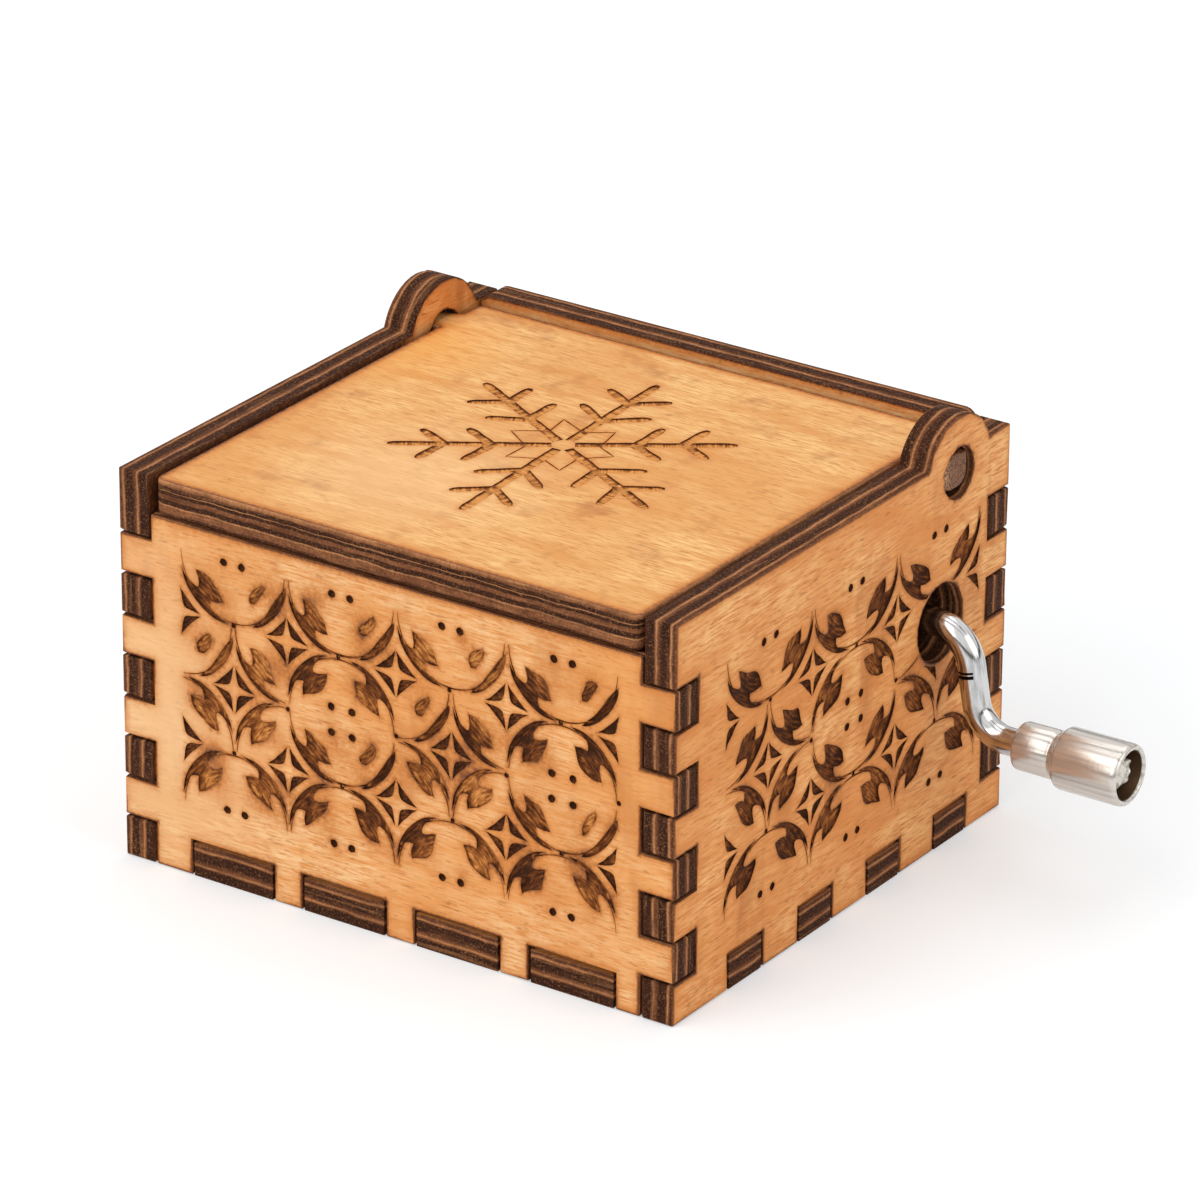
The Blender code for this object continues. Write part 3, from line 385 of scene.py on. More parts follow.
def bumped(tree, height, strength, depth=0.1):
    """A normal that follows a height value, depth in millimetres."""
    return node(tree, "Bump", {
        "Height": height, "Strength": strength, "Distance": depth * MM,
    }).outputs[0]


def new_material(name):
    """A fresh node material with its tree and shader."""
    material = bpy.data.materials.new(name)
    material.use_nodes = True
    tree = material.node_tree
    return material, tree, tree.nodes["Principled BSDF"]


def plug(tree, shader, **sockets):
    """Fills the shader's own sockets, named with underscores for spaces."""
    fill(tree, shader, {key.replace("_", " "): value for key, value in sockets.items()})


# %% [markdown]
# ## Plywood, its face and its burnt edge
#
# The box is cut by laser from birch plywood. A sheet's face is pale honey with short darker
# fibres that all run one way, broad lighter and darker zones, and a brown scorch wherever the
# beam has cut. The cut edge is charred: five or so plies of dark charcoal and brown, divided by
# thin lighter lines, rough and streaked across the sheet. The grain could be a picture, but
# noise stretched along the grain looks right from any side. Where the scorch lies comes
# from the mesh, as a number on its points, because it follows the outlines that were cut.

# %% Plywood face
FIBRE_STRETCH = {"X": (0.09, 1.0, 1.0), "Y": (1.0, 0.09, 1.0)}
SCORCH_AND_SHADE_STEPS = ((0.02, 0.36, 0.85, srgb(206, 126, 54)), (0.32, 0.66, 0.85, srgb(146, 82, 34)),
                (0.62, 1.0, 0.95, srgb(78, 43, 24)))
BLOTCH_AND_LIGHT_CORE = 0.25


def plywood_face(name, grain, pale, mid, deep, blotches_and_painted_light=()):
    """Bare birch with the grain along X or Y. The attribute scorch browns it near cuts, and darkens
    it as painted shade in the gap beside the lid.

    Blotches are spots of tone and painted pools of light and shade, each (centre, reach, colour,
    strength) in millimetres: full in its core, gone at reach.
    """
    material, tree, shader = new_material(name)
    along = FIBRE_STRETCH[grain]
    plain = millimetres(tree)
    fibres = cloud(tree, millimetres(tree, along), 4.8, 3.0, 0.7)
    streaks = cloud(tree, millimetres(tree, tuple(v ** 0.75 for v in along)), 0.55, 3.0, 0.6, 0.4)
    zones = cloud(tree, plain, 0.060, 3.0, 0.55)
    pores = cloud(tree, millimetres(tree, tuple(v ** 0.7 for v in along)), 3.6, 2.0, 0.5)
    stains = cloud(tree, millimetres(tree, (0.16, 0.16, 0.05)), 1.0, 3.0, 0.6)
    wood = ramp(tree, fibres, (0.38, mid), (0.58, pale), (0.85, pale))
    wood = layered(
        tree, wood, (streaks, 0.46, 0.66, 0.85, mid), (zones, 0.40, 0.62, 0.70, mid),
        (fibres, 0.44, 0.30, 0.30, deep), (pores, 0.62, 0.72, 0.55, deep),
        (stains, 0.56, 0.72, 0.55, deep))
    for centre, reach, colour, strength in blotches_and_painted_light:
        away = node(tree, "VectorMath", {0: plain, 1: centre}, operation="DISTANCE")
        wood = layered(
            tree, wood, (away.outputs["Value"], reach, reach * BLOTCH_AND_LIGHT_CORE, strength, colour))
    scorch_and_shade = node(tree, "Attribute", attribute_name="scorch_and_shade").outputs["Fac"]
    wavering = stretch(tree, cloud(tree, plain, 2.2, 3.0, 0.65), 0.3, 0.7, 0.72, 1.25)
    burnt_with_painted_light = math_node(tree, "MULTIPLY", scorch_and_shade, wavering)
    wood = layered(tree, wood, *((burnt_with_painted_light, *step) for step in SCORCH_AND_SHADE_STEPS))
    height = math_node(tree, "SUBTRACT", fibres, math_node(tree, "MULTIPLY", pores, 0.8))
    plug(tree, shader, Base_Color=wood, Roughness=stretch(tree, fibres, 0.3, 0.7, 0.52, 0.68),
         Specular_IOR_Level=0.3, Normal=bumped(tree, height, 0.35, 0.05))
    return material


WALL_HONEY = (srgb(255, 212, 156), srgb(236, 160, 88), srgb(176, 98, 40))
SIDE_HONEY = (srgb(255, 200, 132), srgb(226, 142, 70), srgb(160, 84, 32))
LID_HONEY = (srgb(247, 200, 134), srgb(222, 154, 84), srgb(172, 96, 40))
YELLOW_SPOT = ((-27, 12, 40.8), 11.0, srgb(236, 156, 62), 0.55)
PALE_SPOT = ((-8, -14, 40.8), 16.0, srgb(250, 204, 150), 0.45)
# Painted light and shade on the front wall: paler at its lower left, deeper towards its upper right.
PAINTED_LIGHT_CORNER = ((-30, -29, 16), 22.0, srgb(252, 212, 162), 0.60)
PAINTED_SHADE_CORNER = ((30, -29, 30), 24.0, srgb(236, 160, 88), 0.40)
wall_face_x = plywood_face("wall_face_x", "X", *WALL_HONEY, (PAINTED_LIGHT_CORNER, PAINTED_SHADE_CORNER))
wall_face_y = plywood_face("wall_face_y", "Y", *SIDE_HONEY)
lid_face = plywood_face("lid_face", "X", *LID_HONEY, (YELLOW_SPOT, PALE_SPOT))

# %% [markdown]
# The charred edge is a colour ramp across the sheet, because plies follow the thickness and not
# the outline. A short recipe lists them for the walls and another for the lid, and noise makes
# them waver, streaky and gritty.

# %% Burnt edge
SHEET = 3.5
WALL_PLIES = ("0 dark, 4 black, 27 black, 31 brown, 36 tan, 40 brown, 50 dark, 54 black, "
              "76 black, 79 brown, 83 tan, 87 brown, 92 dark, 100 brown")
LID_PLIES = ("0 black, 8 dark, 12 brown, 28 brown, 32 tan, 35 black, 47 black, 50 brown, "
             "60 brown, 63 black, 71 black, 73 tan, 75 black, 85 black, 88 brown, 100 tan")
TONES = {"black": srgb(54, 29, 18), "dark": srgb(76, 43, 28), "brown": srgb(136, 86, 56),
         "tan": srgb(204, 142, 94)}
FRONT_PLIES_START, SIDE_PLIES_START, LID_UNDERSIDE = 25.5, 28.5, 37.3


def burnt_edge(name, through, start, recipe=WALL_PLIES):
    """Charred plywood edge: plies along the axis through, counted from start in millimetres.

    The recipe lists per cent of the sheet's thickness and the tone that the edge has there.
    """
    material, tree, shader = new_material(name)
    plain = millimetres(tree)
    axes = node(tree, "SeparateXYZ", {0: plain})
    depth = math_node(tree, "SUBTRACT", math_node(tree, "ABSOLUTE", axes.outputs[through]), start)
    waver = cloud(tree, plain, 0.30, 2.0)
    depth = math_node(tree, "ADD", depth, stretch(tree, waver, 0.3, 0.7, -0.10, 0.10))
    share = math_node(tree, "DIVIDE", depth, SHEET)
    black, dark, tan = (TONES[tone] for tone in ("black", "dark", "tan"))
    stops = [step.split() for step in recipe.split(", ")]
    plies = ramp(tree, share, *((int(place) / 100, TONES[tone]) for place, tone in stops))
    squeeze = tuple(0.05 if axis != through else 1.0 for axis in "XYZ")
    soot = cloud(tree, plain, 0.40, 3.0, 0.6)
    grit = cloud(tree, plain, 4.0, 3.0, 0.7)
    lines = cloud(tree, millimetres(tree, squeeze), 1.9, 3.0, 0.6)
    dots = cloud(tree, plain, 6.5, 1.0)
    char = layered(
        tree, plies, (lines, 0.56, 0.76, 0.45, tan), (dots, 0.58, 0.68, 0.32, tan),
        (lines, 0.46, 0.30, 0.60, black), (grit, 0.46, 0.72, 0.50, black),
        (grit, 0.44, 0.28, 0.30, tan), (soot, 0.45, 0.72, 0.55, dark))
    rough_height = math_node(tree, "ADD", grit, math_node(tree, "MULTIPLY", lines, 2.0))
    plug(tree, shader, Base_Color=char, Roughness=stretch(tree, grit, 0.3, 0.7, 0.55, 0.85),
         Specular_IOR_Level=0.08, Normal=bumped(tree, rough_height, 0.7, 0.16))
    return material


edge_side = burnt_edge("edge_side", "X", SIDE_PLIES_START)
edge_front = burnt_edge("edge_front", "Y", FRONT_PLIES_START)
edge_bottom = burnt_edge("edge_bottom", "Z", 0.0)
edge_lid = burnt_edge("edge_lid", "Z", LID_UNDERSIDE, LID_PLIES)

# %% [markdown]
# The bottom of an engraved shape is wood that the beam has half burnt away, light brown to nearly
# black, with torn fibres, whose catching of the light is painted in as pale cream streaks. Plain
# brown would look painted on. So the streaks run round the middle of each shape, by numbers that
# are stored when the drawing is pressed in.

# %% Engraved floor


def engraved_floor(name):
    """Wood burnt away by the beam. Burn says how dark; streaks run along each shape's own arc, and
    the pale ones are partly painted highlight.
    """
    material, tree, shader = new_material(name)
    number = {label: node(tree, "Attribute", attribute_name=label).outputs["Fac"]
              for label in ("burn", "across", "along")}
    lay = node(tree, "CombineXYZ", {
        0: math_node(tree, "MULTIPLY", number["across"], 4.2),
        1: math_node(tree, "MULTIPLY", number["along"], 0.60),
    }).outputs[0]
    streaks = cloud(tree, lay, 1.0, 3.0, 0.65)
    lighter_part = cloud(tree, millimetres(tree), 0.9, 3.0, 0.6)
    burn = math_node(tree, "ADD", number["burn"], stretch(tree, streaks, 0.3, 0.7, -0.34, 0.34))
    burn = math_node(tree, "ADD", burn, stretch(tree, lighter_part, 0.3, 0.7, 0.20, -0.20))
    burnt_with_painted_light = ramp(tree, burn, (0.05, srgb(224, 154, 84)), (0.35, srgb(174, 106, 50)),
                 (0.65, srgb(116, 64, 29)), (1.0, srgb(60, 31, 15)))
    # Painted highlight: pale cream streaks on the floor, partly lighter torn fibres and partly the
    # light that carved facets would catch.
    pale_fibres_and_highlight = math_node(tree, "MULTIPLY", stretch(tree, streaks, 0.34, 0.26),
                       stretch(tree, number["burn"], 0.95, 0.55))
    burnt_with_painted_light = blend(tree, math_node(tree, "MULTIPLY", pale_fibres_and_highlight, 0.8), burnt_with_painted_light, srgb(226, 174, 118))
    plug(tree, shader, Base_Color=burnt_with_painted_light, Roughness=0.75, Specular_IOR_Level=0.12,
         Normal=bumped(tree, streaks, 0.7, 0.12))
    return material


engraving = engraved_floor("engraving")

# %% [markdown]
# The lid turns on two round pegs, and their sawn ends show in the side walls. End grain has no
# long fibres: it is a gritty brown, with lighter crumbs towards its front side.

# %% Peg ends
PALER_PEG_Y = (18.9, 17.6)


def peg_wood(name):
    """The sawn end of a peg: brown and grainy, lighter towards its front side."""
    material, tree, shader = new_material(name)
    plain = millimetres(tree)
    grit = cloud(tree, plain, 5.0, 3.0, 0.7)
    lighter_part = stretch(tree, node(tree, "SeparateXYZ", {0: plain}).outputs["Y"], *PALER_PEG_Y)
    wood = ramp(tree, grit, (0.36, srgb(84, 54, 40)), (0.52, srgb(138, 98, 74)),
                (0.68, srgb(168, 126, 98)))
    crumbs = math_node(tree, "MULTIPLY", lighter_part, stretch(tree, grit, 0.48, 0.56))
    wood = blend(tree, crumbs, wood, srgb(222, 178, 130))
    plug(tree, shader, Base_Color=wood, Roughness=0.7, Specular_IOR_Level=0.25,
         Normal=bumped(tree, grit, 0.8, 0.15))
    return material


peg_end = peg_wood("peg_end")

# %% [markdown]
# ## Metals
#
# The crank is a chromed rod and the knob a turned and plated sleeve. Inside the box sit a
# sand-textured casting, ground spring steel, turned brass and zinc-plated sheet. A metal shows
# by what it reflects, so its colour hardly changes while its roughness and its fine tool marks do.
# The dark bands along the knob are painted reflection in its colour; the dark streaks on the rod
# are partly dirt and partly painted reflection.

# %% Metal finishes
GRIME_AND_REFLECTION_SHADE = 0.30


def metal(name, colour, rough, marks=(1, 1, 1), mark_scale=6.0, mark_depth=0.02, spread=0.12,
          grime_and_reflection=0.25, drift=(0.35, 0.35, 0.35), metallic=1.0):
    """A metal with tool marks, noise stretched by marks, and dull patches stretched by drift.

    Roughness varies by spread, mark_depth is in millimetres and grime darkens the patches. On the
    knob these patches are painted reflection, on the chrome rod partly dirt and partly painted
    reflection, and on the other metals dirt.
    """
    material, tree, shader = new_material(name)
    scratch = cloud(tree, millimetres(tree, marks), mark_scale, 3.0, 0.6)
    patches = cloud(tree, millimetres(tree, drift), 1.0, 3.0, 0.6)
    shade = blend(tree, stretch(tree, patches, 0.45, 0.75, 0.0, grime_and_reflection), colour,
                  tuple(v * GRIME_AND_REFLECTION_SHADE for v in colour[:3]) + (1,))
    gloss = math_node(tree, "ADD", stretch(tree, scratch, 0.3, 0.7, rough - spread / 2,
                                           rough + spread / 2),
                      stretch(tree, patches, 0.4, 0.7, 0.0, spread / 2))
    plug(tree, shader, Base_Color=shade, Metallic=metallic, Roughness=gloss,
         Normal=bumped(tree, scratch, 0.5, mark_depth))
    return material


# Painted reflection: dark streaks along the chrome rod and the knob, in their colour, stand in for
# dark surroundings that they mirror.
chrome = metal("chrome", srgb(208, 207, 206), 0.15, marks=(0.35, 1, 0.35), mark_scale=2.4,
               mark_depth=0.012, spread=0.08, grime_and_reflection=0.75, drift=(0.30, 2.2, 0.30))
knob_plate = metal("knob_plate", srgb(214, 208, 200), 0.20, marks=(1, 0.06, 0.06), mark_scale=8.0,
                   spread=0.08, grime_and_reflection=0.66, drift=(0.04, 1.9, 1.9), metallic=0.66)
zinc_casting = metal("zinc_casting", srgb(178, 177, 172), 0.48, mark_scale=5.0, mark_depth=0.10,
                     grime_and_reflection=0.35)
screw_steel = metal("screw_steel", srgb(214, 214, 216), 0.26, mark_scale=7.0)
comb_steel = metal("comb_steel", srgb(206, 208, 212), 0.24, marks=(1, 0.05, 1), mark_scale=9.0,
                   grime_and_reflection=0.2)
sheet_steel = metal("sheet_steel", srgb(204, 206, 206), 0.34, marks=(1, 1, 0.15), mark_scale=4.0,
                    spread=0.14, grime_and_reflection=0.3)
drum_brass = metal("drum_brass", srgb(224, 186, 108), 0.26, marks=(1, 12, 1), mark_scale=0.6,
                   grime_and_reflection=0.3)

# %% [markdown]
# ## Working on one face of a panel
#
# The ornament is the same lattice on all four walls, only stretched a little to fit. It is drawn
# flat, with u to the right, v upwards and h out of the wood, all in millimetres. One matrix for
# each wall then carries the drawing to the place where the wall really stands.

# %% Face frames
WIDTH, DEPTH, SHEET_TOP = 64.0, 58.0, 40.8


def face_frame(origin, u_axis, v_axis):
    """The matrix that takes (u, v, h) in millimetres to a wall's outer face."""
    u, v = Vector(u_axis), Vector(v_axis)
    turn = Matrix((u, v, u.cross(v))).transposed().to_4x4()
    return Matrix.Translation(Vector(origin) * MM) @ turn @ Matrix.Scale(MM, 4)


FRAMES = {
    "front_panel": face_frame((0, -DEPTH / 2, 0), (1, 0, 0), (0, 0, 1)),
    "back_panel": face_frame((0, DEPTH / 2, 0), (-1, 0, 0), (0, 0, 1)),
    "left_panel": face_frame((-WIDTH / 2, 0, 0), (0, -1, 0), (0, 0, 1)),
    "right_panel": face_frame((WIDTH / 2, 0, 0), (0, 1, 0), (0, 0, 1)),
    "bottom_panel": face_frame((0, 0, 0), (1, 0, 0), (0, -1, 0)),
    "lid": face_frame((0, 0, SHEET_TOP), (1, 0, 0), (0, 1, 0)),
}

# %% [markdown]
# ## Plywood panels
#
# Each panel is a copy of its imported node. Its cut edges get a tiny bevel, as the beam rounds
# them. A flat side of the sheet shows the face veneer, everything else the charred plies.

# %% Panels, rounded
EDGE_ROUND, PANEL_CORNER = 0.12, 50
PEG_START, PEG_LENGTHENED = 30.9 * MM, 0.35 * MM
EDGE, FACE, CUT, PEG_END = range(4)


def dress_panel(node_name, axis, face_material, edge_material):
    """Copies a panel, rounds its cut edges and lays face and edge materials on it."""
    piece = merged_copy(node_name, node_name + "_wood")
    across = "XYZ".index(axis)
    round_edges(piece, EDGE_ROUND, 1, PANEL_CORNER)
    mesh = piece.data
    mesh.materials.clear()
    for material in (edge_material, face_material, engraving):
        mesh.materials.append(material)
    for face in mesh.polygons:
        face.material_index = FACE if abs(face.normal[across]) > 0.99 else EDGE
    if node_name == "lid":
        mesh.materials.append(peg_end)
        for vertex in mesh.vertices:
            if abs(vertex.co.x) > PEG_START:
                vertex.co.x += math.copysign(PEG_LENGTHENED, vertex.co.x)
        for face in mesh.polygons:
            if abs(face.center.x) > PEG_START and abs(face.normal.x) > 0.5:
                face.material_index = PEG_END
    return piece


PANELS = [
    ("front_panel", "Y", wall_face_x, edge_front, "box"),
    ("back_panel", "Y", wall_face_x, edge_front, "box"),
    ("left_panel", "X", wall_face_y, edge_side, "box"),
    ("right_panel", "X", wall_face_y, edge_side, "box"),
    ("bottom_panel", "Z", wall_face_x, edge_bottom, "box"),
    ("lid", "Z", lid_face, edge_lid, "lid"),
]
panels = {}
for node_name, axis, face_material, edge_material, body in PANELS:
    panel = dress_panel(node_name, axis, face_material, edge_material)
    panels[node_name] = panel
    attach(panel, body)
    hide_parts(node_name)
    print(panel.name, len(panel.data.polygons), "faces")

# %% [markdown]
# ## The shapes of the ornament
#
# The beam has burnt four kinds of shape into the walls: thin circle lines, leaves that hug a
# circle from inside, small darts that leave a four-pointed star between them, and dots. They
# could be cutters for a Boolean, but a hundred cutters that touch lines and holes leave open
# edges. So they are drawn flat as closed outlines, with the circle's radius or the star's reach
# as the unit, and pressed into the wood later.

# %% Outlines
LEAF_INNER = [
    (-0.958, -0.288), (-0.915, -0.375), (-0.862, -0.435), (-0.785, -0.500), (-0.700, -0.540),
    (-0.655, -0.520), (-0.648, -0.440), (-0.672, -0.345), (-0.690, -0.275), (-0.590, -0.288),
    (-0.480, -0.338), (-0.378, -0.402), (-0.300, -0.490), (-0.258, -0.590), (-0.215, -0.705),
    (-0.330, -0.722), (-0.448, -0.700), (-0.452, -0.765), (-0.425, -0.845), (-0.345, -0.905),
    (-0.255, -0.945), (-0.150, -0.989),
]
LEAF_ARC = [
    (radius * math.cos(math.radians(angle)), radius * math.sin(math.radians(angle)))
    for angle, radius in zip(range(253, 203, -7), (1.025, *[1.035] * 6, 1.025))
]
CRESCENT_INNER = [
    (-0.940, -0.345), (-0.845, -0.440), (-0.740, -0.560), (-0.610, -0.665), (-0.450, -0.775),
    (-0.300, -0.890), (-0.215, -0.975),
]
BERRY = [
    (-0.560, -0.350), (-0.470, -0.325), (-0.370, -0.385), (-0.270, -0.470), (-0.215, -0.575),
    (-0.270, -0.625), (-0.370, -0.595), (-0.470, -0.520), (-0.555, -0.440),
]
DART = [
    (0.05, 1.00), (0.25, 0.75), (0.50, 0.50), (0.75, 0.25), (1.00, 0.05), (0.66, 0.10),
    (0.32, 0.17), (0.17, 0.32), (0.10, 0.66),
]
DOT = [
    (1.0, 0.1), (0.55, 0.8), (-0.2, 0.95), (-0.95, 0.45), (-0.75, -0.5), (0.1, -1.0), (0.8, -0.6),
]


def smooth_outline(points, pieces, corner=50):
    """A closed curve through drawn points, smooth but for corners sharper than an angle.

    Between two points runs a cubic, whose slope at each end is that of its neighbours' chord.
    """
    count = len(points)
    sharp = math.cos(math.radians(corner))
    smooth = []
    for index in range(count):
        before, start, end, after = (
            Vector(points[(index + shift) % count]) for shift in (-1, 0, 1, 2)
        )
        run = end - start
        is_sharp_start = (start - before).normalized().dot(run.normalized()) < sharp
        is_sharp_end = run.normalized().dot((after - end).normalized()) < sharp
        leave = run if is_sharp_start else (end - before) / 2
        arrive = run if is_sharp_end else (after - start) / 2
        for part in range(pieces):
            t = part / pieces
            smooth.append(
                start * (1 + 2 * t) * (1 - t) ** 2 + leave * t * (1 - t) ** 2
                + end * t * t * (3 - 2 * t) + arrive * t * t * (t - 1)
            )
    return smooth


LEAF, CRESCENT, BERRY, DART, DOT = (
    smooth_outline(points, 2)
    for points in (LEAF_INNER + LEAF_ARC, CRESCENT_INNER + LEAF_ARC, BERRY, DART, DOT)
)
print("leaf", len(LEAF), "dart", len(DART), "dot", len(DOT), "points")

# %% [markdown]
# ## The lattice
#
# Circles stand in columns. The middle row has a whole circle in every second column; in the
# others four quarter circles round the corners of the cell leave a star with hollow sides. Half
# circles close the pattern at the top and at the bottom. Every leaf sits on a diagonal, and each
# is the one before it turned by a quarter, so the pattern reads as a pinwheel. On the front every
# fourth leaf is cut as a crescent with a berry. Leaves sway a little on their inner side, burn
# more or less dark, and smoke a patch of the wood beside them, as nothing burnt repeats exactly.

# %% Placing shapes
RING_FIT = 0.965
LINE_WIDTH, THIN_WIDTH = 0.085, 0.08
STAR_REACH, DOT_SIZE, KNOT_SIZE = 2.4, 0.43, 0.26
TURN_SLACK = 0.03
LEAF_SWAY, OTHER_SWAY, SWAY_SCALE = 0.17, 0.03, 3.0
ARC_STEP, ARC_PROBE, SHORTEST_ARC = 6, 3, 4
HOLE_RIM, LOST_TO_HOLE = 0.35, 0.45
LEAF_RELIEF = (0.25, 0.95)
PUFFS = ((0.25, 0.60), (0.60, 0.95), (1.04, 1.14))
PUFF_SIZE = (0.9, 2.2)
TINT = 0.25


def placed(outline, kind, centre, sizes, turns, rng, char):
    """A copy of an outline at its place in the drawing."""
    slack = rng.uniform(-TURN_SLACK, TURN_SLACK)
    turn = Matrix.Rotation(math.pi / 2 * turns + slack, 2)
    shift = Vector(rng.uniform(-9, 9, 3))
    points = []
    for point in outline:
        spot = turn @ Vector(point[:2])
        sway = noise.noise_vector(Vector((*spot, 0)) * SWAY_SCALE + shift)
        reach = LEAF_SWAY * max(0.0, 1 - spot.length) if kind == "leaf" else OTHER_SWAY
        spot += reach * Vector(sway[:2])
        points.append((centre[0] + spot.x * sizes[0], centre[1] + spot.y * sizes[1]))
    return {"kind": kind, "outline": points, "char": char, "centre": centre, "sizes": sizes}


def arc(centre, sizes, start, end, rng, char):
    """A thin closed band along a circle, from one angle to another, that swells and thins."""
    steps = max(6, round(abs(end - start) / ARC_STEP))
    shift = rng.uniform(-9, 9)
    sides = ([], [])
    for step in range(steps + 1):
        angle = math.radians(start + (end - start) * step / steps)
        taper = min(1.0, 0.30 + 3 * min(step, steps - step) / steps)
        half = LINE_WIDTH * taper * (1 + 0.9 * noise.noise(Vector((angle * 2, shift, 0))))
        for side, sign in zip(sides, (1, -1)):
            side.append((
                centre[0] + math.cos(angle) * (sizes[0] + sign * half),
                centre[1] + math.sin(angle) * (sizes[1] + sign * half),
            ))
    return {"kind": "line", "outline": sides[0] + sides[1][::-1], "char": char, "centre": centre}


STROKE_STEP, STROKE_SWAY = 0.45, 0.16
TIP_START, TIP_GROWTH = 0.45, 0.9


def stroke(start, end, half, kind, char, rng):
    """A stroke between two points as a closed outline, its end rounded to a blunt point."""
    start, end = Vector(start), Vector(end)
    along = (end - start).normalized()
    left = Vector((-along.y, along.x))
    length = (end - start).length
    steps = max(2, round(length / STROKE_STEP))
    shift = rng.uniform(-9, 9)
    sides = ([], [])
    for step in range(steps + 1):
        place = length * step / steps
        width = half * (1 + STROKE_SWAY * noise.noise(Vector((place * 0.7, shift, 0))))
        width *= min(1.0, TIP_START + TIP_GROWTH * (length - place))
        for side, sign in zip(sides, (1, -1)):
            side.append(tuple(start + along * place + left * sign * width))
    return {"kind": kind, "outline": sides[0] + sides[1][::-1], "char": char,
            "centre": tuple(start - along * 9), "core": (start, end, half)}


def lattice(columns, rows, rng, dark, smoke, berries, hole=None):
    """One wall's shapes and smoke patches, in millimetres, with a hole (u, v, radius) kept clear.

    Dark and smoke are ranges, for how black the leaves are burnt and how strong the patches are.
    """
    half_u = (columns[-1] - columns[0]) / (len(columns) - 1) / 2
    half_v = (rows[0] - rows[2]) / 4
    top, middle, bottom = rows
    ring_sizes = (half_u * RING_FIT, half_v * RING_FIT)
    leaf_sizes = (half_u, half_v)
    shapes, patches = [], []

    def is_clear(point):
        return hole is None or math.dist(point, hole[:2]) > hole[2] + HOLE_RIM

    def add(shape):
        """Keeps a shape whose outline stays clear of the hole, pushed aside where it must be."""
        inside = [not is_clear(point) for point in shape["outline"]]
        if sum(inside) > LOST_TO_HOLE * len(inside):
            return
        for index, point in enumerate(shape["outline"]):
            if inside[index]:
                away = Vector(point) - Vector(hole[:2])
                shape["outline"][index] = tuple(
                    Vector(hole[:2]) + away.normalized() * (hole[2] + HOLE_RIM))
        shapes.append(shape)

    def add_arc(u, v, start, end):
        """Adds the stretches of an arc that stay clear of the hole."""
        run = []
        for angle in range(start, end + 1, ARC_PROBE):
            turn = math.radians(angle)
            spot = (u + math.cos(turn) * ring_sizes[0], v + math.sin(turn) * ring_sizes[1])
            if is_clear(spot):
                run.append(angle)
            if run and (not is_clear(spot) or angle + ARC_PROBE > end):
                if len(run) > SHORTEST_ARC:
                    add(arc((u, v), ring_sizes, run[0], run[-1], rng, rng.uniform(0.25, 0.6)))
                run = []

    def add_leaf(u, v, turns):
        """Adds a leaf, or a crescent and its berry, and three puffs of smoke round it."""
        parts = (CRESCENT, BERRY) if berries and turns == 1 else (LEAF,)
        for outline in parts:
            leaf = placed(outline, "leaf", (u, v), leaf_sizes, turns, rng, rng.uniform(*dark))
            leaf["relief"] = rng.uniform(*LEAF_RELIEF) if berries else 0.0
            add(leaf)
        for low, high in PUFFS:
            turn = math.radians(225 + 90 * turns + rng.uniform(-28, 28))
            reach = rng.uniform(low, high)
            patches.append((
                u + math.cos(turn) * reach * leaf_sizes[0],
                v + math.sin(turn) * reach * leaf_sizes[1],
                rng.uniform(*PUFF_SIZE), rng.uniform(*smoke),
            ))

    def add_star(u, v, quarters):
        for turns in quarters:
            add(placed(DART, "dart", (u, v), (STAR_REACH,) * 2, turns, rng, rng.uniform(0.7, 1)))

    def add_dot(u, v, size=DOT_SIZE):
        add(placed(DOT, "dot", (u, v), (size,) * 2, rng.uniform(0, 4), rng, 1.0))

    for column in columns:
        for row in rows:
            patches.append((column, row, half_u, rng.uniform(*smoke) * TINT))
    for index, column in enumerate(columns):
        for row, start, quarters, shift in ((top, 180, (0, 1), -0.4), (bottom, 0, (2, 3), 0.45)):
            add_arc(column, row, start + 3, start + 177)
            for turns in quarters:
                add_leaf(column, row, turns)
            for side in (-1.05, 1.05):
                add_dot(column + side, row + shift)
            add_dot(column + rng.uniform(-0.4, 0.4), (row + middle) / 2, KNOT_SIZE)
        if index % 2:
            add_arc(column, middle, 4, 176)
            add_arc(column, middle, 184, 356)
            for turns in range(4):
                add_leaf(column, middle, turns)
            for side in (-1.2, 1.2):
                add_dot(column + side, middle + 1.35)
                add_dot(column + side, middle - 1.3)
                add_dot(column + math.copysign(half_u, side), middle + side / 4, KNOT_SIZE)
        else:
            for turns, (side, rise) in enumerate(((1, 1), (-1, 1), (-1, -1), (1, -1))):
                corner = (column + side * half_u, middle + rise * half_v)
                add_arc(*corner, 183 + 90 * turns, 267 + 90 * turns)
                add_leaf(*corner, turns)
            add_star(column, middle, range(4))
    for index in range(len(columns) + 1):
        corner = columns[0] - half_u + 2 * half_u * index
        quarters = (0, 3) if index == 0 else (1, 2) if index == len(columns) else range(4)
        for row in (middle + half_v, middle - half_v):
            add_star(corner, row, quarters)
    return shapes, patches


# %% [markdown]
# ## The snowflake on the lid
#
# Six arms with two pairs of twigs each stand round a small bare disc, with six thin rhombi
# between them. It is hand-drawn in feeling: no arm is quite straight or as long as the next. Every
# arm and twig is a stroke with parallel sides and a rounded tip.

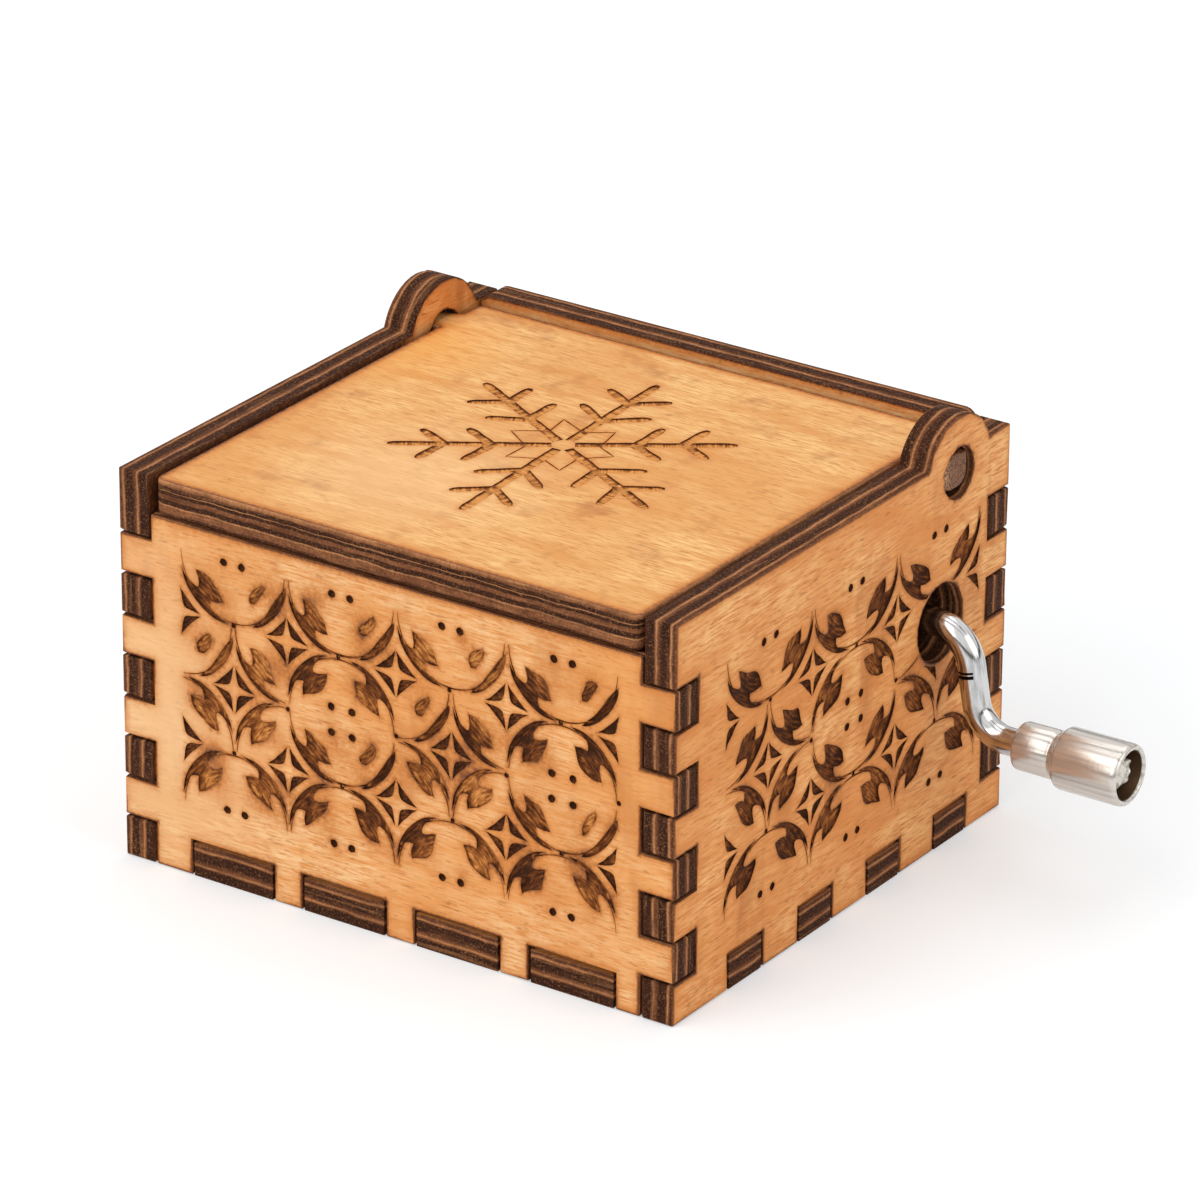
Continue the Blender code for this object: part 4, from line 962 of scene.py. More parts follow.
# %% Strokes
STROKE_WIDTH = 0.52
HUB = (-0.6, 0.1)
HUB_RADIUS = 1.15
ARMS = {
    (-1.4, 17.6): (
        ((-1.1, 12.0), (-4.8, 14.1), (2.2, 14.7)), ((-0.9, 7.0), (-4.9, 9.5), (2.8, 10.2))),
    (-15.6, 8.4): (
        ((-11, 5.9), (-11.1, 9.8), (-14.3, 3.5)), ((-7, 3.2), (-7.0, 8.0), (-10.6, 1.3))),
    (-14.7, -9.2): (
        ((-10.2, -6.2), (-14, -4.5), (-10.3, -10.6)), ((-6.2, -3.8), (-10.4, -1.8), (-6.4, -8.5))),
    (0.3, -18.2): (
        ((-0.2, -7), (-3.9, -10.1), (3.6, -9.8)), ((0, -12.2), (-3.3, -15), (3.6, -14.8))),
    (14.5, -8.0): (
        ((5.6, -3.1), (9.6, -0.6), (5.9, -7.8)), ((9.6, -5.4), (13.3, -3.1), (10.2, -9.8))),
    (13.2, 9.6): (((5.2, 3.9), (5.1, 8.9), (9.1, 2.2)), ((8.8, 6.9), (8.9, 11.0), (12.7, 5.1))),
}
RHOMBI = [
    ((-0.7, 3.7), (-4.1, 5.3), (-3.6, 2.2)), ((-0.7, 3.7), (1.8, 5.5), (2.6, 1.7)),
    ((2.6, 1.7), (5.0, 0.5), (2.5, -1.8)), ((2.5, -1.8), (2.6, -5.2), (-0.3, -3.8)),
    ((-0.3, -3.8), (-3.5, -5.4), (-3.4, -2.2)), ((-3.4, -2.2), (-6.7, 0.1), (-3.6, 2.2)),
]


ARM_CHAR, TWIG_CHAR, THIN_CHAR = (0.0, 0.2), (0.0, 0.25), (0.35, 0.8)


def snowflake(rng):
    """All strokes of the snowflake."""
    shapes = []
    hub = Vector(HUB)

    def add(start, end, half, kind, char):
        shapes.append(stroke(start, end, half, kind, rng.uniform(*char), rng))

    for tip, twigs in ARMS.items():
        outward = (Vector(tip) - hub).normalized()
        start = hub + outward * HUB_RADIUS
        add(start, tip, STROKE_WIDTH, "stroke", ARM_CHAR)
        for base, *ends in twigs:
            for end in ends:
                add(base, end, STROKE_WIDTH, "stroke", TWIG_CHAR)
    for joint, tip, other in RHOMBI:
        for foot in (joint, other):
            add(foot, tip, THIN_WIDTH, "line", THIN_CHAR)
    return shapes


# %% [markdown]
# ## Pressing a drawing into a panel
#
# A face of a panel is taken off and replaced by a sheet of triangles that has every outline of
# the drawing as edges, with loose points beside each outline and all over the rest. The triangles
# inside a shape are then extruded into the wood, which makes the walls of the cut, and the new
# floor gets its depth: shallow along the walls, deeper and uneven further in. The inner face gets
# a plain sheet the same way, because it is scorched along its own cuts.

# %% Flat sheet
POINT_STEP, INNER_STEP = 0.55, 1.1
BESIDE_RIM, BESIDE_SHAPE = (0.25, 0.8), (0.2, 0.55)
RIM_POINT_STEP, RIM_SAMPLE, EDGE_SAMPLE = 0.7, 0.2, 0.3
POINT_JITTER, POINT_CELL, CLOSEST_POINT = 0.12, 0.18, 0.12


def sampled(runs, step):
    """Points about a step apart along straight runs, each with the direction to its left."""
    spots = []
    for start, end in runs:
        run = end - start
        if run.length < 1e-6:
            continue
        left = Vector((-run.y, run.x)) / run.length
        count = max(1, round(run.length / step))
        spots += [(start + run * part / count, left) for part in range(count)]
    return spots


def near_tree(spots):
    """A search tree over flat points."""
    tree = kdtree.KDTree(len(spots))
    for index, (spot, left) in enumerate(spots):
        tree.insert((spot.x, spot.y, 0), index)
    tree.balance()
    return tree


def loose_points(rim_runs, edges, crowd, low, high, step, rng):
    """Points beside the rim, beside the shapes and all over, none too close to an outline."""
    loose = [spot + left * away * sign for spot, left in sampled(rim_runs, RIM_POINT_STEP)
             for away in BESIDE_RIM for sign in (1, -1)]
    loose += [spot - left * away for spot, left in edges[::2] for away in BESIDE_SHAPE]
    loose += [spot + left * BESIDE_SHAPE[0] for spot, left in edges[::2]]
    for row in np.arange(low[1] + step / 2, high[1], step):
        for column in np.arange(low[0] + step / 2, high[0], step):
            jitter = Vector(rng.uniform(-POINT_JITTER, POINT_JITTER, 2))
            loose.append(Vector((column, row)) + jitter)
    cells, kept = set(), []
    for spot in loose:
        cell = (round(spot.x / POINT_CELL), round(spot.y / POINT_CELL))
        if cell not in cells and crowd.find((spot.x, spot.y, 0))[2] > CLOSEST_POINT:
            cells.add(cell)
            kept.append(spot)
    return kept


def flat_sheet(name, polygons, shapes, rim_runs, seams, step, rng):
    """Triangulates the face polygons with all outlines as edges. Shapes get the last material."""
    points, loops = [], []
    for polygon in polygons + [shape["outline"] for shape in shapes]:
        loops.append(list(range(len(points), len(points) + len(polygon))))
        points += [Vector(point) for point in polygon]
    rim = sampled(rim_runs, RIM_SAMPLE)
    edges = sampled([run for shape in shapes for run in shape["runs"]], EDGE_SAMPLE)
    hidden = sampled([run for shape in shapes for run in shape["buried"]] + seams, EDGE_SAMPLE)
    low, high = ([pick(spot[axis] for spot, left in rim) for axis in (0, 1)]
                 for pick in (min, max))
    points += loose_points(rim_runs, edges, near_tree(rim + edges + hidden), low, high, step, rng)
    sheet = delaunay_2d_cdt(points, [], loops, 1, 1e-6)
    corners, faces, sources = sheet[0], sheet[2], sheet[5]
    kept = [(face, source) for face, source in zip(faces, sources)
            if source and min(source) < len(polygons)]
    used = sorted({index for face, source in kept for index in face})
    order = {index: place for place, index in enumerate(used)}
    mesh = bpy.data.meshes.new(name)
    mesh.from_pydata([(*corners[index], 0) for index in used], [],
                     [[order[index] for index in face] for face, source in kept])
    for face, (_, source) in zip(mesh.polygons, kept):
        face.material_index = CUT if max(source) >= len(polygons) else FACE
    piece = bpy.data.objects.new(name, mesh)
    bpy.context.collection.objects.link(piece)
    return piece, rim, edges


# %% [markdown]
# Numbers are stored on the points while the drawing is still flat and easy to measure. Scorch
# browns the face: it is strongest at a cut and fades over a millimetre or two, in patches,
# because the smoke and heat of the beam spread unevenly. On the inner faces of the side walls it
# also carries painted shade, the dark gap beside the lid. Burn darkens the floor of a cut: its rim
# is always dark, and its middle as dark as that shape was drawn. Across and along give the
# distance from the middle of the shape's circle and the way round it, for streaks that follow it.

# %% Heat
HEAT = {
    "rim": ((0.70, 0.14), (0.16, 0.9)), "lid_rim": ((0.95, 0.34), (0.20, 1.0)),
    "inner_rim": ((0.75, 0.16), (0.20, 1.2)), "line": ((0.26, 0.12), (0.07, 0.7)),
    "leaf": ((0.36, 0.16), (0.12, 0.8)), "small": ((0.30, 0.16), (0.06, 0.5)),
    "stroke": ((0.22, 0.16), (0.10, 1.0)),
}
SMALL_KINDS = {"dart": "small", "dot": "small"}
FLOOR_DEPTH = {"leaf": (0.16, 0.46), "small": (0.16, 0.40), "line": (0.10, 0.12),
               "stroke": (0.10, 0.20)}
FLOOR_UNEVEN = {"leaf": 0.20, "small": 0.06, "line": 0.0, "stroke": 0.05}
EDGE_CHAR = {"leaf": 0.95, "small": 1.0, "line": 0.5, "stroke": 0.95}
SMOKE_LIMIT = 0.44
PATCH_LEVEL, PATCH_SWING, PATCH_SCALE = 0.7, 1.6, (0.22, 0.30)
HEAT_SAMPLE, INNER_SIDE, CUT_LEVEL = 0.25, -1.0, -0.02
FLOOR_RUN, FLOOR_BUMPS, SHALLOWEST, CHAR_RUN = 0.4, 1.6, 0.07, 0.25
BARE_FROM, BARE_RUN = 0.98, 0.45
LABELS = ("scorch_and_shade", "burn", "across", "along")


def heat(distance, kind, patch=1.0):
    """A sharp and a soft falloff with the distance from a cut."""
    (near, near_reach), (far, far_reach) = HEAT[kind]
    return near * math.exp(-distance / near_reach) + patch * far * math.exp(-distance / far_reach)


def stored(mesh, label):
    """The numbers that a mesh stores on its points under a label, zeros where it has none."""
    if label not in mesh.attributes:
        mesh.attributes.new(label, "FLOAT", "POINT")
    values = np.zeros(len(mesh.vertices), dtype=np.float32)
    mesh.attributes[label].data.foreach_get("value", values)
    return values


def press_and_burn(piece, shapes, patches, rim, rim_heat, edges, layer, smoke_and_shade_limit):
    """Gives every point of a pressed face its depth and its four numbers.

    The layer is the height in the noise at which this face reads its patches.
    """
    trees = {rim_heat: near_tree(rim)}
    for kind in ("line", "leaf", "small", "stroke"):
        runs = [run for shape in shapes for run in shape["runs"]
                if SMALL_KINDS.get(shape["kind"], shape["kind"]) == kind]
        if runs:
            trees[kind] = near_tree(sampled(runs, HEAT_SAMPLE))
    owners = [shape for shape in shapes for run in sampled(shape["runs"], EDGE_SAMPLE)]
    nearest = near_tree(edges) if edges else None
    mesh = piece.data
    numbers = {label: stored(mesh, label) for label in LABELS}
    for vertex in mesh.vertices:
        if vertex.co.z < INNER_SIDE:
            continue
        index = vertex.index
        x, y, flat = vertex.co.x, vertex.co.y, (vertex.co.x, vertex.co.y, 0)
        lay = Vector((x * PATCH_SCALE[0], y * PATCH_SCALE[1], layer))
        patch = max(0.0, PATCH_LEVEL + PATCH_SWING * noise.noise(lay))
        value = sum(heat(tree.find(flat)[2], kind, 1.0 if kind == rim_heat else patch)
                    for kind, tree in trees.items())
        # On the inner faces of the side walls these patches are painted shade in the gap beside the
        # lid.
        smoke = sum(strength * math.exp(-((x - u) ** 2 + (y - v) ** 2) / reach ** 2)
                    for u, v, reach, strength in patches)
        numbers["scorch_and_shade"][index] = min(value + min(smoke, smoke_and_shade_limit), 1.0)
        if not nearest:
            continue
        spot, sample, distance = nearest.find(flat)
        shape = owners[sample]
        kind = SMALL_KINDS.get(shape["kind"], shape["kind"])
        dx, dy = x - shape["centre"][0], y - shape["centre"][1]
        numbers["across"][index] = math.hypot(dx, dy)
        numbers["along"][index] = math.atan2(dy, dx) * 6
        flat_part = 0.0
        if shape.get("relief"):
            outward = math.hypot(dx / shape["sizes"][0], dy / shape["sizes"][1])
            flat_part = shape["relief"] * min(max((BARE_FROM - outward) / BARE_RUN, 0.0), 1.0)
        rim_char = EDGE_CHAR[kind] * (1 - 0.5 * flat_part)
        numbers["burn"][index] = rim_char
        if vertex.co.z < CUT_LEVEL:
            inner = min(1.0, distance / FLOOR_RUN)
            uneven = noise.noise(Vector((x * FLOOR_BUMPS, y * FLOOR_BUMPS, layer)))
            rim_depth, deep = FLOOR_DEPTH[kind]
            depth = rim_depth + (deep - rim_depth) * inner + FLOOR_UNEVEN[kind] * inner * uneven
            vertex.co.z = -max(SHALLOWEST, depth * (1 - 0.6 * flat_part))
            char = shape["char"] * (1 - 0.65 * flat_part)
            numbers["burn"][index] = max(char, rim_char - distance / CHAR_RUN)
    for label, values in numbers.items():
        mesh.attributes[label].data.foreach_set("value", values)


# %% [markdown]
# The face that takes the drawing is found by its place, cut out and rebuilt. A line that runs
# under a leaf or another stroke heats the wood only once, so each outline is first split into
# open and buried runs. Seams between two flat parts of one face are no cut, so nothing is burnt
# there.

# %% Press a drawing into a panel
FIRST_PRESS, SEAM_STEP = 0.3, 0.45


def covers(shape, spot):
    """True where a spot lies under a stroke or inside a leaf, a dart or a dot."""
    if "core" in shape:
        start, end, half = shape["core"]
        share = (spot - start).dot(end - start) / (end - start).length_squared
        return (spot - start - (end - start) * min(max(share, 0.0), 1.0)).length < half * 0.9
    low, high = shape["box"]
    if not (low[0] < spot.x < high[0] and low[1] < spot.y < high[1]):
        return False
    outline = shape["outline"]
    crossings = 0
    for a, b in zip(outline, outline[1:] + outline[:1]):
        if (a.y > spot.y) != (b.y > spot.y):
            crossings += spot.x < a.x + (b.x - a.x) * (spot.y - a.y) / (b.y - a.y)
    return crossings % 2 == 1


def trace_outlines(shapes):
    """Turns every outline the same way round and lists its straight runs, buried ones apart."""
    for shape in shapes:
        outline = [Vector(point) for point in shape["outline"]]
        if sum(a.cross(b) for a, b in zip(outline, outline[1:] + outline[:1])) < 0:
            outline.reverse()
        shape["outline"] = outline
        shape["box"] = [[pick(point[axis] for point in outline) for axis in (0, 1)]
                        for pick in (min, max)]
    for shape in shapes:
        outline = shape["outline"]
        runs = list(zip(outline, outline[1:] + outline[:1]))
        covering = [other for other in shapes if other is not shape and other["kind"] != "line"]
        if shape["kind"] not in ("line", "stroke"):
            covering = []
        buried = [any(covers(other, (start + end) / 2) for other in covering)
                  for start, end in runs]
        shape["runs"] = [run for run, under in zip(runs, buried) if not under]
        shape["buried"] = [run for run, under in zip(runs, buried) if under]


def face_outline(mesh, face, seam_keys):
    """The corners of a face, with extra points along its seams with other chosen faces."""
    outline = []
    corners = list(face.vertices)
    for start, end in zip(corners, corners[1:] + corners[:1]):
        key = (min(start, end), max(start, end))
        low, high = (mesh.vertices[index].co.xy.copy() for index in key)
        count = max(1, round((high - low).length / SEAM_STEP)) if key in seam_keys else 1
        spots = [low + (high - low) * part / count for part in range(count + 1)]
        outline += (spots if start < end else spots[::-1])[:-1]
    return outline


def burn_drawing(piece, frame_matrix, shapes, patches, seed, rim_heat="rim", step=POINT_STEP,
                 smoke_and_shade_limit=SMOKE_LIMIT):
    """Rebuilds one face of a panel, with a drawing pressed into it and its cuts scorched."""
    piece.data.transform(frame_matrix.inverted())
    mesh = piece.data
    faces = [face for face in mesh.polygons
             if face.normal.z > 0.99 and abs(mesh.vertices[face.vertices[0]].co.z) < 0.01]
    chosen = {face.index for face in faces}
    sides = {}
    for face in mesh.polygons:
        for key in face.edge_keys:
            sides.setdefault(key, []).append(face.index in chosen)
    rim_runs = [tuple(mesh.vertices[index].co.xy.copy() for index in key)
                for key, marks in sides.items() if len(marks) > 1 and sum(marks) == 1]
    seam_keys = {key for key, marks in sides.items() if sum(marks) > 1}
    seams = [tuple(mesh.vertices[index].co.xy.copy() for index in key) for key in seam_keys]
    polygons = [face_outline(mesh, face, seam_keys) for face in faces]
    trace_outlines(shapes)
    rng = np.random.default_rng(seed)
    sheet, rim, edges = flat_sheet(
        piece.name + "_sheet", polygons, shapes, rim_runs, seams, step, rng)
    for material in mesh.materials:
        sheet.data.materials.append(material)
    if shapes:
        pick_faces(sheet, lambda face: face.material_index == CUT)
        push_selected((0, 0, -FIRST_PRESS))
    pick_faces(piece, lambda face: face.index in chosen)
    bpy.ops.mesh.delete(type="ONLY_FACE")
    bpy.ops.mesh.select_all(action="SELECT")
    bpy.ops.mesh.delete_loose()
    out_of_edit()
    only(piece)
    sheet.select_set(True)
    bpy.ops.object.join()
    in_edit(piece, "VERT")
    bpy.ops.mesh.select_all(action="SELECT")
    bpy.ops.mesh.remove_doubles(threshold=0.0005)
    out_of_edit()
    for face in mesh.polygons:
        if (face.material_index == FACE and abs(face.normal.z) < 0.9
                and face.center.z > INNER_SIDE):
            face.material_index = CUT
    press_and_burn(piece, shapes, patches, rim, rim_heat, edges, float(seed), smoke_and_shade_limit)
    piece.data.transform(frame_matrix)


def inner_frame(frame_matrix):
    """The frame of a panel's other face: a sheet's thickness further in, looking back."""
    return frame_matrix @ Matrix.Translation((0, 0, -SHEET)) @ Matrix.Rotation(math.pi, 4, "Y")


# %% [markdown]
# The rows and columns were measured on the photographed walls, by the middles of the circles. The
# back and the left wall aren't seen there. They get the mirrored lattice with random numbers of
# their own, so no two walls are quite the same. The gap beside the lid is painted dark as shade: a
# row of patches along the inner faces of the side walls.

# %% Draw on all panels
FRONT_COLUMNS = [-18.55, -5.88, 6.79, 19.46]
FRONT_ROWS = [34.6, 21.15, 7.7]
SIDE_COLUMNS = [-13.3, 1.6, 16.5]
SIDE_ROWS = [34.4, 20.9, 7.4]
CRANK_HOLE = (16.9, 24.3, 4.0)
FRONT_DARK = (0.30, 0.95)
SIDE_DARK = (0.55, 0.90)
FRONT_SMOKE = (0.0, 0.34)
SIDE_SMOKE = (0.0, 0.18)
BACK_COLUMNS = [-column for column in FRONT_COLUMNS[::-1]]
LEFT_COLUMNS = [-column for column in SIDE_COLUMNS[::-1]]


def wall_drawing(seed, columns, rows, dark, smoke, berries, hole=None):
    """The lattice of one wall, from its own row of random numbers."""
    rng = np.random.default_rng(40 + seed)
    return lattice(columns, rows, rng, dark, smoke, berries, hole)


# Painted shade: dark patches high on the inner faces of the side walls, in the gap beside the lid.
GAP_LEVEL, GAP_REACH, GAP_STRENGTH = 39.0, 2.4, 0.85
GAP_PAINTED_SHADE = {name: [(side * y, GAP_LEVEL, GAP_REACH, GAP_STRENGTH)
                    for y in np.arange(-28.0, 12.5, 1.5)]
             for name, side in (("left_panel", 1), ("right_panel", -1))}
DRAWINGS = {
    "front_panel": wall_drawing(1, FRONT_COLUMNS, FRONT_ROWS, FRONT_DARK, FRONT_SMOKE, True),
    "right_panel": wall_drawing(
        2, SIDE_COLUMNS, SIDE_ROWS, SIDE_DARK, SIDE_SMOKE, False, CRANK_HOLE),
    "back_panel": wall_drawing(3, BACK_COLUMNS, FRONT_ROWS, FRONT_DARK, FRONT_SMOKE, True),
    "left_panel": wall_drawing(4, LEFT_COLUMNS, SIDE_ROWS, SIDE_DARK, SIDE_SMOKE, False),
    "lid": (snowflake(np.random.default_rng(47)), []),
    "bottom_panel": ([], []),
}
for seed, (name, (shapes, patches)) in enumerate(DRAWINGS.items(), start=1):
    rim_heat = "lid_rim" if name == "lid" else "rim"
    burn_drawing(panels[name], FRAMES[name], shapes, patches, seed, rim_heat)
    burn_drawing(panels[name], inner_frame(FRAMES[name]), [], GAP_PAINTED_SHADE.get(name, []), seed + 10,
                 "inner_rim", INNER_STEP, 1.0)
    finish_shape(panels[name])
    shape = bmesh.new()
    shape.from_mesh(panels[name].data)
    open_edges = sum(not edge.is_manifold for edge in shape.edges)
    print(name, open_edges, "open edges,", round(shape.calc_volume() / MM ** 3), "cubic mm")
    shape.free()

# %% [markdown]
# ## The crank
#
# The crank is one chromed steel rod, bent down and out again, with a notch filed into its front
# and its end spread like a rivet inside the knob. It could be a curve with a round bevel, but the
# notch and the rivet need faces. So it is made as a bender makes it: a ring of points is extruded
# along each straight run and spun round the middle of each bend.

# %% Bent rod
ROD_RADIUS, ROD_START, ROD_Y = 1.4, 19.12, 16.9
AXIS_Z, KNOB_Z = 24.3, 13.9
BEND_START, UPPER_BEND, LOWER_BEND, BEND_TURN = 31.5, 4.2, 3.8, math.radians(80)
RIVET_START, RIVET_RADIUS, RIVET_LUMPS = 50.8, 1.70, 0.60
LUMPS_FROM, LUMP_SCALE, LUMPS_ASIDE = 0.5, 1.1, 0.6
DOWN = Vector((math.cos(BEND_TURN), 0, -math.sin(BEND_TURN)))
ARM_START = Vector((BEND_START + UPPER_BEND * math.sin(BEND_TURN), ROD_Y,
                    AXIS_Z - UPPER_BEND * (1 - math.cos(BEND_TURN))))
ARM_LENGTH = ((AXIS_Z - KNOB_Z) - (UPPER_BEND + LOWER_BEND) * (1 - math.cos(BEND_TURN))) \
    / math.sin(BEND_TURN)
ARM_END = ARM_START + DOWN * ARM_LENGTH
LOWER_CENTRE = ARM_END + Vector((math.sin(BEND_TURN), 0, math.cos(BEND_TURN))) * LOWER_BEND


def to_mm(x, y, z):
    """A place in millimetres as a vector in metres."""
    return Vector((x, y, z)) * MM


def run_along(x, y, z):
    """Extrudes the selected ring along a straight run, in millimetres."""
    bpy.ops.mesh.extrude_region_move(TRANSFORM_OT_translate={"value": to_mm(x, y, z)})


def bend_round(centre, angle):
    """Spins the selected ring round a bend's middle, about an axis along Y."""
    bpy.ops.mesh.spin(steps=16, angle=angle, center=to_mm(*centre), axis=(0, 1, 0))


bpy.ops.mesh.primitive_circle_add(
    vertices=40, radius=ROD_RADIUS * MM, location=to_mm(ROD_START, ROD_Y, AXIS_Z),
    rotation=(0, math.pi / 2, 0))
rod = bpy.context.object
rod.name = "crank_rod"
bpy.ops.object.transform_apply(location=True, rotation=True, scale=True)
bpy.ops.object.mode_set(mode="EDIT")
bpy.ops.mesh.select_mode(type="EDGE")
bpy.ops.mesh.select_all(action="SELECT")
run_along(BEND_START - ROD_START, 0, 0)
bend_round((BEND_START, ROD_Y, AXIS_Z - UPPER_BEND), -BEND_TURN)
NOTCH_STEPS = (0.35, 0.24, 0.12, 0.36)
for step in (*NOTCH_STEPS, ARM_LENGTH - sum(NOTCH_STEPS)):
    run_along(*(DOWN * step))
bend_round(LOWER_CENTRE, BEND_TURN)
run_along(RIVET_START - LOWER_CENTRE.x, 0, 0)
RIVET_RINGS = ((0.0, 1.30), (0.12, RIVET_RADIUS / ROD_RADIUS / 1.30), (0.6, 1.0), (0.55, 0.97),
               (0.45, 0.93), (0.30, 0.90), (0.12, 0.86), (0.05, 0.75), (0.0, 0.6), (-0.05, 0.5))
reached = RIVET_START
for forward, factor in RIVET_RINGS:
    reached += forward
    run_along(forward, 0, 0)
    bpy.ops.transform.resize(
        value=(1, factor, factor), center_override=to_mm(reached, ROD_Y, KNOB_Z))
bpy.ops.mesh.edge_face_add()
out_of_edit()
for vertex in rod.data.vertices:
    beyond = vertex.co.x / MM - RIVET_START - LUMPS_FROM
    if beyond > 0:
        push = Vector(noise.noise_vector(vertex.co / MM * LUMP_SCALE))
        push *= RIVET_LUMPS * min(beyond, 1.0)
        vertex.co += Vector((push.x, push.y * LUMPS_ASIDE, push.z * LUMPS_ASIDE)) * MM
print("rod drawn to x", round(reached, 2), "mm with", len(rod.data.polygons), "faces")

# %% [markdown]
# The notch is two short bands on the rod's front: their faces are pushed in, and a thin web stays
# between them. Then the ends are closed and the faces turned outwards. Inside, the notch is
# coloured nearly black as painted shade.

# %% Notch and ends
NOTCH_FACING = Vector((-0.55, -0.83, 0))
NOTCH_FACING = (NOTCH_FACING - DOWN * NOTCH_FACING.dot(DOWN)).normalized()
NOTCH_DEPTH = 0.45
NOTCH_BANDS = [(sum(NOTCH_STEPS[:index]), sum(NOTCH_STEPS[:index + 1])) for index in (1, 3)]


def along_arm(face):
    """How far down the arm a face lies, and how far from the arm's axis, in millimetres."""
    away = face.center / MM - ARM_START
    return away.dot(DOWN), (away - DOWN * away.dot(DOWN)).length


def file_notch(piece, low, high):
    """Pushes in the rod's faces in one band where they face the notch's direction."""
    def faces_the_file(face):
        down, out = along_arm(face)
        return (low < down < high and out < ROD_RADIUS * 1.1
                and abs(face.normal.dot(DOWN)) < 0.1 and face.normal.dot(NOTCH_FACING) > 0.30)

    pick_faces(piece, faces_the_file)
    push_selected(-NOTCH_FACING * NOTCH_DEPTH * MM)
    return sum(face.select for face in piece.data.polygons)


def close_and_face_out(piece):
    """Fills open rings, merges doubles and turns all faces outwards."""
    in_edit(piece, "EDGE")
    bpy.ops.mesh.select_all(action="SELECT")
    bpy.ops.mesh.remove_doubles(threshold=0.001 * MM)
    bpy.ops.mesh.select_all(action="DESELECT")
    bpy.ops.mesh.select_non_manifold(extend=False)
    bpy.ops.mesh.edge_face_add()
    bpy.ops.mesh.select_all(action="SELECT")
    bpy.ops.mesh.normals_make_consistent(inside=False)
    out_of_edit()


close_and_face_out(rod)
print("notch faces:", [file_notch(rod, low, high) for low, high in NOTCH_BANDS])
# Painted shade: the faces inside the notch get a near-black colour for the shade in the groove.
notch_painted_shade = metal("notch_painted_shade", srgb(60, 50, 42), 0.55, mark_depth=0.03, spread=0.1, grime_and_reflection=0.5)
# Painted highlight: the rivet end gets a pale, partly diffuse colour, so it reads bright inside the
# shaded recess of the knob.
rivet_painted_bright = metal("rivet_painted_bright", srgb(226, 220, 208), 0.30, mark_scale=1.6, mark_depth=0.55,
                     spread=0.2, grime_and_reflection=0.6, drift=(1.5, 1.5, 1.5), metallic=0.55)
for material in (chrome, notch_painted_shade, rivet_painted_bright):
    rod.data.materials.append(material)
for face in rod.data.polygons:
    down, out = along_arm(face)
    if NOTCH_BANDS[0][0] - 0.02 < down < NOTCH_BANDS[1][1] + 0.02 and out < ROD_RADIUS - 0.1:
        face.material_index = 1
    elif face.center.x > (RIVET_START - 0.01) * MM:
        face.material_index = 2
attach(rod, "crank")
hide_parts("crank_handle")
finish_shape(rod, 40)

# %% [markdown]
# ## The knob
#
# The knob is turned from bar: a narrow neck, a hollow shoulder, a body with a rounded end and a
# deep recess where the rivet shows. A lathe part is a profile spun once round its axis, with
# short steps where an edge is rounded, so that a highlight runs along it.

# %% Turned knob
KNOB_PROFILE = [
    (41.60, 1.65), (41.60, 2.18), (41.66, 2.32), (41.80, 2.42), (42.00, 2.45), (45.35, 2.45),
    (45.48, 2.38), (45.62, 2.34), (45.80, 2.36), (46.02, 2.48), (46.24, 2.70), (46.42, 2.93),
    (46.60, 3.08), (46.85, 3.15), (53.05, 3.15), (53.35, 3.12), (53.58, 3.02), (53.70, 2.86),
    (53.70, 2.66), (53.62, 2.54), (53.45, 2.48), (50.60, 2.46), (50.50, 2.36), (50.50, 1.65),
]
bpy.ops.mesh.primitive_circle_add(vertices=len(KNOB_PROFILE), radius=MM)
knob = bpy.context.object
knob.name = "knob_turned"
for vertex, (x, radius) in zip(knob.data.vertices, KNOB_PROFILE):
    vertex.co = to_mm(x, ROD_Y, KNOB_Z + radius)
in_edit(knob, "EDGE")
bpy.ops.mesh.select_all(action="SELECT")
bpy.ops.mesh.spin(
    steps=72, angle=math.tau, center=to_mm(0, ROD_Y, KNOB_Z), axis=(1, 0, 0), use_auto_merge=True)
out_of_edit()
close_and_face_out(knob)
knob.data.materials.append(knob_plate)
knob_dark = metal("knob_dark", srgb(104, 80, 60), 0.45, mark_scale=5.0, mark_depth=0.04,
                  spread=0.16, grime_and_reflection=0.6)
knob.data.materials.append(knob_dark)
RECESS_RADIUS, RECESS_FLOOR, RECESS_MOUTH = 2.52, 50.4, 53.4
for face in knob.data.polygons:
    x, y, z = face.center / MM
    inside = math.hypot(y - ROD_Y, z - KNOB_Z) < RECESS_RADIUS
    face.material_index = int(inside and RECESS_FLOOR < x < RECESS_MOUTH)
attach(knob, "knob")
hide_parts("crank_knob")
finish_shape(knob, 50)

# %% [markdown]
# ## The movement
#
# The movement shows when the lid is up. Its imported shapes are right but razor-sharp. Each piece is
# copied and gets its metal, its edges a fine bevel that catches the light, and round forms are
# shaded smooth. Screw heads get the slot that a driver needs: a thin strip across the head that
# is pushed in.

